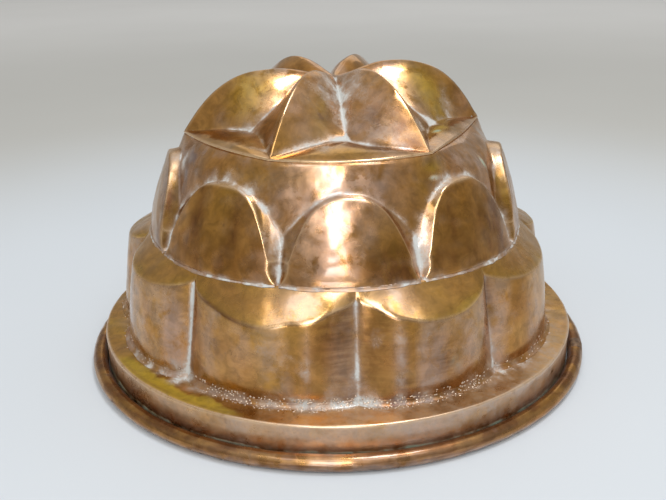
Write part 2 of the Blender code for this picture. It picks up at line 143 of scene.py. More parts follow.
def softened(field, passes):
    # each value mixed with its four neighbours, a few times over
    for _ in range(passes):
        field = (np.roll(field, 1, axis=1) + 2 * field + np.roll(field, -1, axis=1)) / 4
        inner = (field[:-2] + 2 * field[1:-1] + field[2:]) / 4
        field = np.concatenate([field[:1], inner, field[-1:]])
    return field


def ringMesh(name, rows, closed, poles=None, marks=None):
    # a mesh from a grid that closes round, and down as well if closed, or ends in two poles
    count, columns = rows.shape[:2]
    here = np.arange(columns)
    after = (here + 1) % columns
    last = count if closed else count - 1
    row = np.arange(last)[:, None] * columns
    under = (np.arange(1, last + 1)[:, None] % count) * columns
    quads = np.stack([row + here, under + here, under + after, row + after], axis=-1).reshape(-1, 4)
    points = rows.reshape(-1, 3)
    loops = quads.ravel()
    sizes = np.full(len(quads), 4)
    if poles is not None:
        total = len(points)
        points = np.concatenate([points, np.array(poles)])
        first = np.stack([np.full(columns, total), here, after], axis=-1)
        end = (count - 1) * columns
        second = np.stack([np.full(columns, total + 1), end + after, end + here], axis=-1)
        loops = np.concatenate([loops, first.ravel(), second.ravel()])
        sizes = np.concatenate([sizes, np.full(2 * columns, 3)])
    return finishMesh(name, points, loops, sizes, marks)


def finishMesh(name, points, loops, sizes, marks):
    # a mesh of faces given by their corners and counts, turned outwards, with its marks
    starts = np.concatenate([[0], np.cumsum(sizes)[:-1]])
    # volume under each face's fan tells whether the faces point outwards
    corner = points[loops]
    fan = sizes.max()
    a, b, c = corner[starts], corner[starts + 1], corner[starts + 2]
    volume = np.einsum("ij,ij->i", a, np.cross(b, c)).sum()
    if fan == 4:
        four = starts[sizes == 4]
        volume += np.einsum("ij,ij->i", corner[four], np.cross(corner[four + 2], corner[four + 3])).sum()
    if volume < 0:
        ends = starts + sizes
        spot = np.arange(len(loops))
        face = np.repeat(np.arange(len(sizes)), sizes)
        loops = loops[starts[face] + ends[face] - 1 - spot]
    mesh = bpy.data.meshes.new(name)
    mesh.vertices.add(len(points))
    mesh.vertices.foreach_set("co", points.astype(np.float32).ravel())
    mesh.loops.add(len(loops))
    mesh.loops.foreach_set("vertex_index", loops.astype(np.int32))
    mesh.polygons.add(len(sizes))
    mesh.polygons.foreach_set("loop_start", starts.astype(np.int32))
    mesh.polygons.foreach_set("use_smooth", np.ones(len(sizes), bool))
    mesh.update(calc_edges=True)
    for mark, values in (marks or {}).items():
        field = mesh.attributes.new(mark, "FLOAT", "POINT")
        padded = np.zeros(len(points), np.float32)
        padded[:values.size] = values.ravel()
        field.data.foreach_set("value", padded)
    mesh.validate()
    return addObject(name, mesh)


def sheet(name, outer, depth, marks, rim=0.15 * mm, poles=None, near=0.0):
    # an outer and an inner skin along softened normals, with rounded edges
    normals = gridNormals(outer)
    if np.sum(normals[:, :, :2] * outer[:, :, :2]) + np.sum(normals[:, :, 2]) < 0:
        normals = -normals
    soft = softened(normals, 4)
    soft /= np.linalg.norm(soft, axis=-1, keepdims=True)
    outside = outer - near * soft
    inside = outer - (near + depth) * soft
    bends = np.array([0.12, 0.5, 0.88])[:, None, None]
    out = rim * np.array([0.7, 1.0, 0.7])[:, None, None]
    down = outer[-1] - outer[-2]
    down /= np.linalg.norm(down, axis=-1, keepdims=True)
    bottom = outer[-1] - (near + bends * depth) * soft[-1] + out * down
    rows = [outside, bottom, inside[::-1]]
    kept = [np.arange(len(outer)), [len(outer) - 1] * 3, np.arange(len(outer))[::-1]]
    if poles is None:
        up = outer[0] - outer[1]
        up /= np.linalg.norm(up, axis=-1, keepdims=True)
        rows.append((outer[0] - (near + bends * depth) * soft[0] + out * up)[::-1])
        kept.append([0] * 3)
    kept = np.concatenate(kept)
    skin = np.concatenate([np.ones(len(outer) + 2), np.zeros(len(kept) - len(outer) - 2)])
    marks = {mark: field[kept] * skin[:, None] for mark, field in marks.items()}
    return ringMesh(name, np.concatenate(rows), poles is None, poles, marks)


sheetMetal = {"thickness": 1.2 * mm, "tin": 0.25 * mm, "tinGap": 0.05 * mm}

archShape = {
    "feet": (-58.0, -15.4, 22.9, 61.7, 101.8, 141.8, 181.9, 221.9, 262.0),
    "tops": (107.2, 105.3, 106.6, 110.3, 108.0, 108.0, 108.0, 108.0, 110.5),  # mm above the floor
    "foot": 69.0 * mm,
    "spring": 88.4 * mm,
    "wall": 92.9 * mm,
    "relief": 2.3 * mm,  # how far the faces stand out from the drum
    "leans": (15.0, 15.0, 15.0, 11.3, 15.0, 15.0, 15.0, 15.0, 13.0),  # mm in from foot to top
    "leanPower": 1.4,
    "side": 4.6 * mm,  # width of the slant from a face to its groove
    "sideDrop": 10.0 * mm,
    "headPower": 3.5,  # power of the faces' upper edge across each arch
    "headStep": 1.4 * mm,  # from an arch's head down to its face's upper edge
    "swells": (1.5, 2.0, 1.5, -1.5, 0.5, 0.5, 0.5, 0.5, 0.0),  # mm that each face stands out in its middle
    # knocks in the faces: turn, height, degrees wide, mm tall, mm out
    "knocks": (
        (-2, 83, 3.5, 3.5, -0.22), (1, 94, 4, 4, 0.1), (3.5, 109, 3, 3.5, 0.2),
        (-4, 112, 4, 3, -0.14), (-36, 88, 5, 8, -0.12), (40, 86, 5, 9, 0.15),
    ),
    "taper": 7.0 * mm,  # height over which a face's sides close in to the grooves
    "footShare": 0.975,
    # the white veil over each arch: how strong, and over how many mm it fades upwards
    "veils": (0.95, 0.6, 0.8, 0.6, 0.6, 0.5, 0.6, 0.5, 0.5),
    "veilFalls": (3.2, 2.0, 2.8, 2.4, 3.0, 2.0, 3.0, 2.0, 2.4),
    "tinDrop": 4.3 * mm,  # how far below the crown's edge the tin begins
}

crownShape = {
    "tips": (-79.7, -22.6, 34.8, 98.1, 158.8, 219.6),
    "edge": 118.2 * mm,
    "lean": 18.4 * mm,
    "flat": 0.3 * mm,
    "chords": (0.5, 0.0, 0.8, 0.3, 0.2, 0.3),  # how far the edge is flattened between tips, 1 is straight
    "chordFall": 14.0 * mm,  # how far down the drum the flats reach
    "centre": 23.6 * mm,
    "crests": (28.2, 30.2, 30.2, 30.2, 30.2, 30.2),  # mm above the edge
    "fullness": (2.8, 2.0, 2.0, 2.9, 2.0, 2.0),  # power of each rib's fall to its tip
    "crestRadius": 26.8 * mm,
    "valleyRise": 3.0 * mm,
    "valleyFoot": 51.0 * mm,
    "lips": (0.3, 1.5, 1.5, 0.2, 1.0, 1.0),  # mm by which each rib's tip stops short of the edge
    # how the creases run in from the tips, before and after each valley
    "facetCurves": ((2.0, 2.0), (2.0, 0.86), (1.7, 2.0), (2.0, 2.0), (2.0, 2.0), (2.0, 2.0)),
    "valleyCurve": 1.65,
    "sideCurve": 0.45,
    "lensBulges": (0.9, 1.5, 0.9, 0.9, 0.9, 0.9),  # mm
    "ridgeRound": 0.035,  # shares of half a rib's spacing
    "valleyRound": 0.025,
    "seat": 1.1 * mm,  # how far below the crown's edge the drum's sheet ends
    "edgeRound": 0.35 * mm,
    "tinInset": 4.7 * mm,  # how far in from the edge the tin ends
}


def drumRadius(height, turns):
    # straight lean in from the arches' grooves up to the crown, a little more on the right; near the
    # top a square law leads it part of the way in to the chords from tip to tip
    up = (height - archShape["foot"]) / (crownShape["edge"] - archShape["foot"])
    flat = crownShape["flat"] * np.clip(np.sin(np.radians(turns)), 0, None) ** 2
    radius = archShape["wall"] - (crownShape["lean"] + flat) * up
    index, shares = stretchAt(turns, crownShape["tips"])
    half = np.radians(np.diff(np.append(crownShape["tips"], crownShape["tips"][0] + 360)) / 2)[index]
    chord = np.array(crownShape["chords"])[index] * (1 - np.cos(half) / np.cos(half * shares))
    drop = crownShape["edge"] - crownShape["seat"] - height
    near = np.clip(1 - drop / crownShape["chordFall"], 0, 1) ** 2
    return radius * (1 - chord * near)


def nearRib(turns, values):
    # the value of the rib that is next to each turn
    index, shares = stretchAt(turns, crownShape["tips"])
    return np.array(values)[(index + (shares > 0)) % len(values)]


def ribShare(turns):
    # 0 on a rib and 1 in a valley
    return 1 - np.abs(stretchAt(turns, crownShape["tips"])[1])


def creaseRadius(turns):
    # foot of the ribs' sides, a power law from the tip of a rib in to the foot of a valley
    lip = mm * nearRib(turns, crownShape["lips"])
    reach = drumRadius(crownShape["edge"], turns) - lip - crownShape["valleyFoot"]
    index, shares = stretchAt(turns, crownShape["tips"])
    power = np.array(crownShape["facetCurves"])[index, (shares > 0).astype(int)]
    return crownShape["valleyFoot"] + reach * np.abs(shares) ** power


def crownHeight(radius, turns):
    # ribs rise to a crest and fall by a power law, valleys fall evenly, and a curve joins the two;
    # outside the crease a bulging lens falls to the round edge
    share = ribShare(turns)
    ridge, groove = crownShape["ridgeRound"], crownShape["valleyRound"]
    edge = drumRadius(crownShape["edge"], turns)
    tip = edge - mm * nearRib(turns, crownShape["lips"])
    foot = creaseRadius(turns)
    crest = mm * nearRib(turns, crownShape["crests"])
    centre, low = crownShape["centre"], crownShape["valleyRise"]
    along = np.minimum(radius / foot, 1)
    reach = along * tip
    swell = smooth(0, crownShape["crestRadius"], reach)
    fall = np.clip((reach - crownShape["crestRadius"]) / (tip - crownShape["crestRadius"]), 0, 1)
    out = crest * (1 - fall ** nearRib(turns, crownShape["fullness"]))
    rib = np.where(reach < crownShape["crestRadius"], centre + (crest - centre) * swell, out)
    valley = low + (centre - low) * (1 - along ** crownShape["valleyCurve"])
    rounded = np.hypot(share, ridge) - np.hypot(1 - share, groove) + 1 - share
    blend = rounded * (1 - crownShape["sideCurve"]) + crownShape["sideCurve"] * rounded ** 2
    facet = low * (tip - foot) / (tip - crownShape["valleyFoot"])
    face = (1 - blend) * rib + blend * valley + (facet - blend * low) * along ** 4
    lens = np.clip((radius - foot) / (edge - foot), 0, 1)
    bulge = mm * np.array(crownShape["lensBulges"])[stretchAt(turns, crownShape["tips"])[0]]
    bulge = bulge * 4 * lens * (1 - lens) * smooth(0, 0.5, share)
    return crownShape["edge"] + np.where(radius > foot, facet * (1 - lens) + bulge, face)


lobeShape = {
    "valleys": (-79.6, -40.1, 4.6, 42.1, 86.0, 124.9, 163.8, 202.6, 241.5),
    "footRadius": 105.6 * mm,
    "footDepths": (6.6, 4.4, 4.4, 5.4, 8.0, 6.5, 6.5, 6.5, 10.6),  # mm out from the foot's circle
    "footHeight": 19.6 * mm,
    "topRadius": 97.4 * mm,
    "topDepths": (10.4, 11.1, 11.1, 10.0, 11.4, 11.0, 11.0, 11.0, 13.8),  # mm out from the edge's circle
    "topHeight": 65.0 * mm,
    "drops": (5.8, 9.8, 9.1, 6.5, 5.0, 7.0, 7.0, 7.0, 4.5),  # mm down from topHeight
    "fullness": 0.7,
    "ledgeTop": 68.7 * mm,
    "ledgeRound": 1.3 * mm,
    "belly": 0.9 * mm,  # how far the walls bulge half way down
    # how white the valleys' lines are at their top, middle and foot
    "whiteLines": ((4.6, 1.4, 0.5, 1.15), (42.1, 0.25, 0.35, 1.1), (-40.1, 1.1, 1.0, 0.6)),
    # knocks in the ledges' edges: turn, reach in degrees, millimetres out
    "knocks": (
        (-31, 7, -1.1), (-11, 3.6, -1.4), (-1, 3.4, -1.7), (8.2, 4.5, -2.2), (16, 2.5, -0.7), (30, 6, 0.5),
    ),
}


def lobeSwell(turns):
    # 0 in the valleys and 1 in the middle of a lobe
    index, shares = stretchAt(turns, lobeShape["valleys"])
    return index, (1 - shares ** 2) ** lobeShape["fullness"]


def ledgeEdge(turns):
    # the edge stands out by each lobe's depth and hangs down by its drop, with a few knocks
    index, swell = lobeSwell(turns)
    depths, drops = np.array(lobeShape["topDepths"])[index], np.array(lobeShape["drops"])[index]
    knock = sum(out * line(turnGap(turns, middle), reach) for middle, reach, out in lobeShape["knocks"])
    swell = swell + knock / depths * smooth(0, 0.5, swell)
    return lobeShape["topRadius"] + mm * depths * swell, lobeShape["topHeight"] - mm * drops * swell


def lobeFoot(turns):
    # the foot stands out from a circle by each lobe's depth times its swell
    index, swell = lobeSwell(turns)
    return lobeShape["footRadius"] + mm * np.array(lobeShape["footDepths"])[index] * swell


def archFace(height, top, across, turns):
    # a face that leans in by a power law of its height, a little rounded across
    up = np.clip((height - archShape["foot"]) / (top - archShape["foot"]), 0, 1)
    index = stretchAt(turns, archShape["feet"])[0]
    lean = mm * np.array(archShape["leans"])[index] * up ** archShape["leanPower"]
    swell = mm * np.array(archShape["swells"])[index]
    return archShape["wall"] + archShape["relief"] + swell * (1 - across ** 2) - lean


archPitch = math.pi / len(archShape["feet"]) * archShape["wall"]  # half an arch's spacing
archEdgeShare = 1 - archShape["side"] / archPitch


def archFoot(turns):
    # outline on the ledge: the faces, led straight in to the grooves at their sides
    shares = np.abs(stretchAt(turns, archShape["feet"])[1])
    edge = archShape["footShare"]
    face = archFace(archShape["foot"], archShape["spring"], np.minimum(shares / edge, 1), turns)
    side = np.clip((shares - edge) / (1 - edge), 0, 1)
    return face + (archShape["wall"] - face) * side


def clustered(count, pull):
    # shares from -1 to 1, closer together towards both ends
    t = np.linspace(-1, 1, count + 1)[:-1]
    return pull * np.sin(t * math.pi / 2) + (1 - pull) * t


# what the points of a copper sheet carry for its shader, each from 0 to about 1; the wear mark is partly
# real wear and partly painted highlight along edges, ridges and lit faces, and the rose mark is partly the
# copper's pink and partly a painted sheen, paler and coated where the lamps' highlights fall
markNames = ("residue", "oxide", "olive", "rose", "wearAndHighlight", "stain", "verdigris")


def beside(turns, middle, width):
    # 1 at a turn, falling like a bell with the degrees from it
    return line(turnGap(turns, middle), width)


def clouds(points, wide, seed, low, high):
    # soft clouds some millimetres wide, 0 where the waves are below low and 1 above high
    return smooth(low, high, waves(points, wide * mm, seed))


def spotted(turns, places, table, broken=1.0, **zones):
    # each mark's bell-shaped spots, in the order of the marks' names; a row of the table has the
    # weight, turn, place in millimetres, degrees wide, millimetres tall and share that isn't broken up
    sums = {mark: np.zeros(places.shape) for mark in markNames}
    for key, rows in table.items():
        mark, *zone = key.split()
        for weight, turn, middle, wide, tall, *steady in rows:
            spot = weight * patch(turns, places, turn, middle * mm, wide, tall * mm)
            if steady:
                spot *= steady[0] + (1 - steady[0]) * broken
            sums[mark] += spot * zones[zone[0]] if zone else spot
    return sums.values()


def fields(rows, *values):
    # the marks by name, each as a full grid
    return {mark: value + np.zeros(rows.shape[:2]) for mark, value in zip(markNames, values)}


def dented(rows, strength, seed, ends, fluted=0.0):
    # hand-hammered sheet: long, middling and short waves along the normals, and upright ones
    normals = gridNormals(rows)
    lift = 0.7 * waves(rows, 27 * mm, seed) + 0.42 * waves(rows, 12 * mm, seed + 1)
    lift += 0.17 * waves(rows, 5 * mm, seed + 2) + fluted * waves(rows * (1, 1, 0.2), 13 * mm, seed + 3)
    moved = rows + detail["hammer"] * strength * lift[:, :, None] * normals
    return rows + (moved - rows) * ends[:, :, None]


# numbers of points and rows of the grids, and the depth of the hammer marks
detail = {
    "crownShares": 56,
    "crownRings": 46,
    "lensRings": 16,
    "archFace": 32,
    "archSide": 8,
    "archRows": (17, 8, 35),  # above the arches, over their tops' edge and down their faces
    "lobeShares": 48,
    "lobeRows": (15, 7, 36),  # on the ledge, round its edge and down the wall
    "collarRows": (20, 7, 24),
    "rimTurns": 540,
    "hammer": 0.13 * mm,
}


def crownGrid():
    # rings from the centre out to the crease, closer together there, and on over the lens to the edge
    half = np.linspace(0, 1, detail["crownShares"] // 2 + 1)
    half = 0.35 * half + 0.65 * (0.5 - 0.5 * np.cos(half * math.pi))
    shares = np.concatenate([half[:-1] - 1, half[:-1]])
    turns, _ = spread(crownShape["tips"], shares)
    foot = creaseRadius(turns)
    edge = drumRadius(crownShape["edge"], turns)
    rings = np.linspace(0, 1, detail["crownRings"] + 1)[1:, None]
    rings = 1 - (1 - rings) ** 1.15
    lens = np.linspace(0, 1, detail["lensRings"] + 1)[1:, None]
    radii = np.concatenate([rings * foot, foot + (edge - foot) * lens])
    return turns, radii, foot, edge


def tinned(name, rows, poles=None):
    # the skin of tin inside a sheet
    near = sheetMetal["thickness"] + sheetMetal["tinGap"]
    return sheet(name, rows, sheetMetal["tin"], {}, 0.1 * mm, poles, near)


# where the crown is marked, in rows for spotted; inside means on the ribs and the facets
crownSpots = {
    "residue": ((0.85, 4, 27, 30, 17, 0.55), (0.5, -6, 63, 9, 6, 0.4), (0.8, -30, 66, 5, 2.5, 0)),
    "residue inside": ((0.7, 85, 56, 8, 5, 0.4), (0.3, 22, 58, 9, 10, 0.3)),
    "olive": (
        (1.2, -70, 44, 18, 12), (1.3, 84, 46, 15, 12), (1.1, 60, 56, 22, 6),
        (0.7, 4, 66, 20, 7), (0.5, -40, 66, 26, 8), (0.8, -7, 46, 4, 16),
    ),
    # rose spots at turns 21, 80 and -72 lie on the ribs' highlights: a painted sheen, paler and coated
    "rose": (
        (1.0, 21, 58, 13, 15), (0.9, 60, 30, 25, 12), (1.3, 80, 32, 20, 10), (1.3, -72, 29, 18, 10),
        (1.0, -62, 38, 16, 14), (0.5, -12, 56, 10, 8), (0.5, -50, 44, 8, 14),
    ),
    "oxide inside": ((0.3, 30, 64, 5, 12),),
    "stain": (
        (0.4, 0, 42, 4, 14), (0.8, 20, 60, 10, 12), (3, -10.2, 32.9, 2.2, 1.0), (3, -8, 45.8, 1.5, 0.9),
    ),
    "stain inside": ((0.9, 30, 63, 6, 13),),
    # painted light: a paler spot that brightens the front left facet
    "wearAndHighlight": ((0.25, -9, 50, 9, 22),),
    "verdigris": ((0.8, 55, 58, 4, 1.6),),
}


def makeCrown():
    # crownHeight over a grid of radii and turns, hammered; its marks follow the valleys, the ribs'
    # ridges, the crease and the edge
    turns, radii, foot, edge = crownGrid()
    share = ribShare(turns)
    heights = crownHeight(radii, turns)
    for _ in range(2):
        heights[1:-1] = (heights[:-2] + 2 * heights[1:-1] + heights[2:]) / 4
    ends = smooth(0, 8 * mm, radii) * smooth(0, 3 * mm, edge - radii)
    outer = dented(place(radii, turns, heights), 1, 11, ends)
    halfPitch = math.pi / len(crownShape["tips"]) * radii
    valleyGap, ribGap = (1 - share) * halfPitch, share * halfPitch
    inside = radii <= foot * 1.0001
    broken = clouds(outer, 9, 12, -1.1, 0.9)
    spots = spotted(turns, radii, crownSpots, broken, inside=inside)
    residue, oxide, olive, rose, wearAndHighlight, stain, verdigris = spots
    crease = np.abs(radii - foot)
    sides = smooth(0.15, 0.6, share)
    lines = inside * line(valleyGap, 0.8 * mm) * (0.4 + 0.5 * broken)
    lines += 0.3 * inside * line(valleyGap, 2.4 * mm) * broken
    lines += 0.75 * line(crease, 0.9 * mm) * sides * (0.3 + 0.7 * broken)
    lines += 0.9 * line(np.hypot(valleyGap, crease), 3.4 * mm) * broken
    lines += 0.35 * inside * line(crease, 7 * mm) * smooth(0.4, 0.9, share) * broken
    residue += lines * smooth(2 * mm, 8 * mm, radii)
    shelf = line(radii - foot - 1.2 * mm, 2.6 * mm) * beside(turns, 4, 24)
    residue += 0.55 * shelf * (0.5 + 0.5 * broken)
    residue += 0.55 * inside * line(foot - radii - 0.6 * mm, 1.5 * mm) * beside(turns, -13, 9)
    # painted highlights, partly wear: bright lines along the ribs' ridges and the round edge
    ridges = 0.8 * inside * line(ribGap, 0.5 * mm) * smooth(0.4, 0.7, radii / foot)
    wearAndHighlight += ridges * (1 - 0.7 * beside(turns, -22.6, 5) * smooth(0.7, 0.9, radii / foot))
    wearAndHighlight += line(edge - radii, 0.8 * mm) * (1 - 0.8 * beside(turns, 66, 24))
    olive += 0.3 * clouds(outer, 30, 14, 0.0, 1.2)
    rose += 0.4 * clouds(outer, 24, 15, 0.2, 1.2) + 0.7 * line(edge - radii, 4 * mm) * beside(turns, 64, 22)
    oxide += 0.5 * line(crease, 1.6 * mm) * sides * clouds(outer, 9, 17, 0.2, -0.8)
    stain += 0.55 * clouds(outer, 16, 16, 0.5, 1.5)
    stain += 0.5 * clouds(outer, 8, 18, 0.2, 1.2) * beside(turns, -79.7, 22)
    marks = fields(outer, residue, oxide, olive, rose, wearAndHighlight, stain, verdigris)
    top = crownShape["edge"] + crownShape["centre"]
    thick = sheetMetal["thickness"]
    poles = [(0, 0, top), (0, 0, top - thick)]
    crown = sheet("crownSheet", outer, thick, marks, crownShape["edgeRound"], poles)
    reach = drumRadius(crownShape["edge"], turns) - crownShape["tinInset"]
    under = outer.copy()
    under[:, :, :2] *= (np.minimum(radii, reach) / radii)[:, :, None]
    low = top - thick - sheetMetal["tinGap"]
    return crown, tinned("crownTin", under, [(0, 0, low), (0, 0, low - sheetMetal["tin"])])


jointShape = {
    # the line of solder below the crown's edge: how far in, how far down and how thick
    "lineInset": 0.24 * mm,
    "lineDrop": 1.0 * mm,
    "lineThick": 0.36 * mm,
    # the fillet inside the crown, and how far in it lies for the sheet and its tin
    "crownLeg": 2.7 * mm,
    "crownSheet": 1.7 * mm,
    "crownReach": 1.2 * mm,  # how much further in than its leg its upper end is
    "crownUnder": 1.4 * mm,  # how far its upper end is below the crown's outer face
    "crownHollow": 0.3 * mm,
    # how wide the fillets round the arches and the lobes are
    "archLeg": 0.85 * mm,
    "archSteepest": 0.7,  # slope of the ledge that the fillet follows at most
    "archSunk": 0.15 * mm,
    "lobeLeg": 2.2 * mm,
    "lobeSunk": 0.33 * mm,
}


def makeCrownLine():
    # solder wiped flush into the joint below the crown's edge: a thin round ring
    turns = np.arange(0, 360, 0.75)
    angles = np.arange(8)[:, None] * math.pi / 4
    middle = drumRadius(crownShape["edge"], turns) - jointShape["lineInset"]
    height = crownShape["edge"] - jointShape["lineDrop"]
    thick = jointShape["lineThick"] * (1 + 0.12 * waves(place(middle, turns, height), 6 * mm, 22))
    rows = place(middle + thick * np.cos(angles), turns, height + 1.5 * thick * np.sin(angles))
    white = 0.75 * (beside(turns, -80, 26) + 0.7 * beside(turns, 80, 20))
    residue, rose = white * clouds(rows, 9, 23, -0.8, 0.8), 0.8 * beside(turns, 2, 25)
    marks = fields(rows, residue, 0, 0.4 * clouds(rows, 20, 24, -0.5, 1.0), rose)
    return ringMesh("crownLine", rows, True, None, marks)


def makeCrownSolder():
    # a fillet from the drum's inside up to the crown's underside, a little hollow
    turns = np.arange(360.0)
    wall = jointShape["crownSheet"]
    top = crownShape["edge"] - wall
    corner = drumRadius(top, turns) - wall
    leg = jointShape["crownLeg"] * (1 + 0.12 * waves(place(corner, turns, top), 8 * mm, 21))
    low = drumRadius(top - leg, turns) - wall
    high = corner - jointShape["crownReach"] - leg
    under = crownHeight(high, turns) - jointShape["crownUnder"]
    t = np.linspace(0, 1, 5)[:, None]
    hollow = jointShape["crownHollow"] * np.sin(t * math.pi)
    face = place(low + (high - low) * t + hollow, turns, top - leg + (under - top + leg) * t + hollow)
    return ringMesh("crownSolder", np.concatenate([face, place(corner, turns, top)[None]]), True)


def archGrid():
    # the drum down to the arches' heads, which are parabolas; a straight step from there out to the
    # faces' upper edge, a blunter power curve; and the faces down to the foot, whose sides run
    # straight in to the drum
    side = np.arange(detail["archSide"]) / detail["archSide"] * (1 - archEdgeShare)
    face = archEdgeShare * clustered(detail["archFace"], 0.7)
    shares = np.concatenate([side - 1, face, archEdgeShare + side])
    turns, shares = spread(archShape["feet"], shares)
    index = stretchAt(turns, archShape["feet"])[0]
    top = mm * np.array(archShape["tops"])[index]
    across = np.minimum(np.abs(shares) / archEdgeShare, 1)
    slant = np.clip((np.abs(shares) - archEdgeShare) / (1 - archEdgeShare), 0, 1)
    head = archShape["spring"] + (top - archShape["spring"]) * (1 - shares ** 2)
    low = archShape["spring"] - archShape["sideDrop"]
    rim = low + (top - archShape["headStep"] - low) * (1 - across ** archShape["headPower"])
    drumTop = crownShape["edge"] - crownShape["seat"]

    def wall(height):
        return archFace(height, top, across, turns) * (1 - slant) + drumRadius(height, turns) * slant

    a, b, c = (np.linspace(0, 1, count)[:, None] for count in detail["archRows"])
    b, c = b[1:], c[1:] ** 1.15
    high = drumTop + (head - drumTop) * a ** 0.8
    rowsA = place(drumRadius(high, turns), turns, high)
    radius = drumRadius(head, turns) + (wall(rim) - drumRadius(head, turns)) * b
    rowsB = place(radius, turns, head + (rim - head) * b)
    low = rim + (archShape["foot"] - rim) * c
    # the sides close in to the grooves towards the foot, by a square law
    closing = np.clip(1 - (low - archShape["foot"]) / archShape["taper"], 0, 1) ** 2
    edge = archEdgeShare + (archShape["footShare"] - archEdgeShare) * closing
    moved = np.where(slant > 0, edge + (1 - edge) * slant, across * edge) * np.sign(shares)
    halfPitch = np.diff(np.append(archShape["feet"], archShape["feet"][0] + 360))[index] / 2
    rowsC = place(wall(low), turns + (moved - shares) * halfPitch, low)
    return turns, shares, np.concatenate([rowsA, rowsB, rowsC]), head, rim, len(rowsA)


def trimmed(rows, conic, top):
    # the same sheet from a level top edge down, by even steps along each column
    heights = rows[:conic, :, 2]
    under = (heights > top).sum(axis=0)[None]
    above, below = np.take_along_axis(heights, under - 1, 0), np.take_along_axis(heights, under, 0)
    start = under - 1 + (above - top) / (above - below)
    spots = start + (conic - 1 - start) * np.linspace(0, 1, conic - 3)[:, None]
    low = np.minimum(spots.astype(int), conic - 2)
    part = (spots - low)[:, :, None]
    upper = np.take_along_axis(rows, low[:, :, None], 0)
    lower = np.take_along_axis(rows, low[:, :, None] + 1, 0)
    return np.concatenate([upper * (1 - part) + lower * part, rows[conic:]])


# cone means above the arches, face on them, side on their edges, and even all but those edges
archSpots = {
    "residue cone": ((0.6, -67, 108, 6, 12, 0.3), (0.25, -1, 106, 16, 12, 0.3), (0.15, 60, 116, 20, 4, 0.5)),
    "residue side": ((0.42, 25, 84, 4, 16), (0.4, -18, 90, 4, 14)),
    "olive": ((0.9, 34, 112, 6, 5), (0.7, 28, 104, 3, 5), (0.7, -26, 110, 12, 6)),
    "olive face": ((0.7, 14, 84, 6, 14), (0.5, 42, 90, 13, 22), (0.5, -37, 94, 14, 20)),
    # rose spots at turns -1 and -3 lie on the window's highlight down the drum and the middle arch: a
    # painted sheen, paler and coated
    "rose": ((1.0, -1, 108, 20, 16), (1.2, -3, 84, 9, 16), (0.8, -64, 100, 9, 18), (0.5, 60, 100, 12, 18)),
    "rose side": ((1.2, 24, 82, 5, 18),),
    "rose cone": ((0.6, 60, 115, 22, 6),),
    "stain face": (
        (1, -43.5, 90, 2.6, 15), (1, -29, 88, 1.9, 16), (0.55, 45, 86, 12, 14), (0.9, 15, 78, 8, 11),
    ),
    "stain even": ((1.2, -64, 106, 7, 14),),
    "oxide": ((0.9, -62, 109, 6, 10, 0),),
    "verdigris": ((0.9, 33.5, 107.5, 2.4, 1.3), (0.8, 63, 106, 1.3, 4)),
}


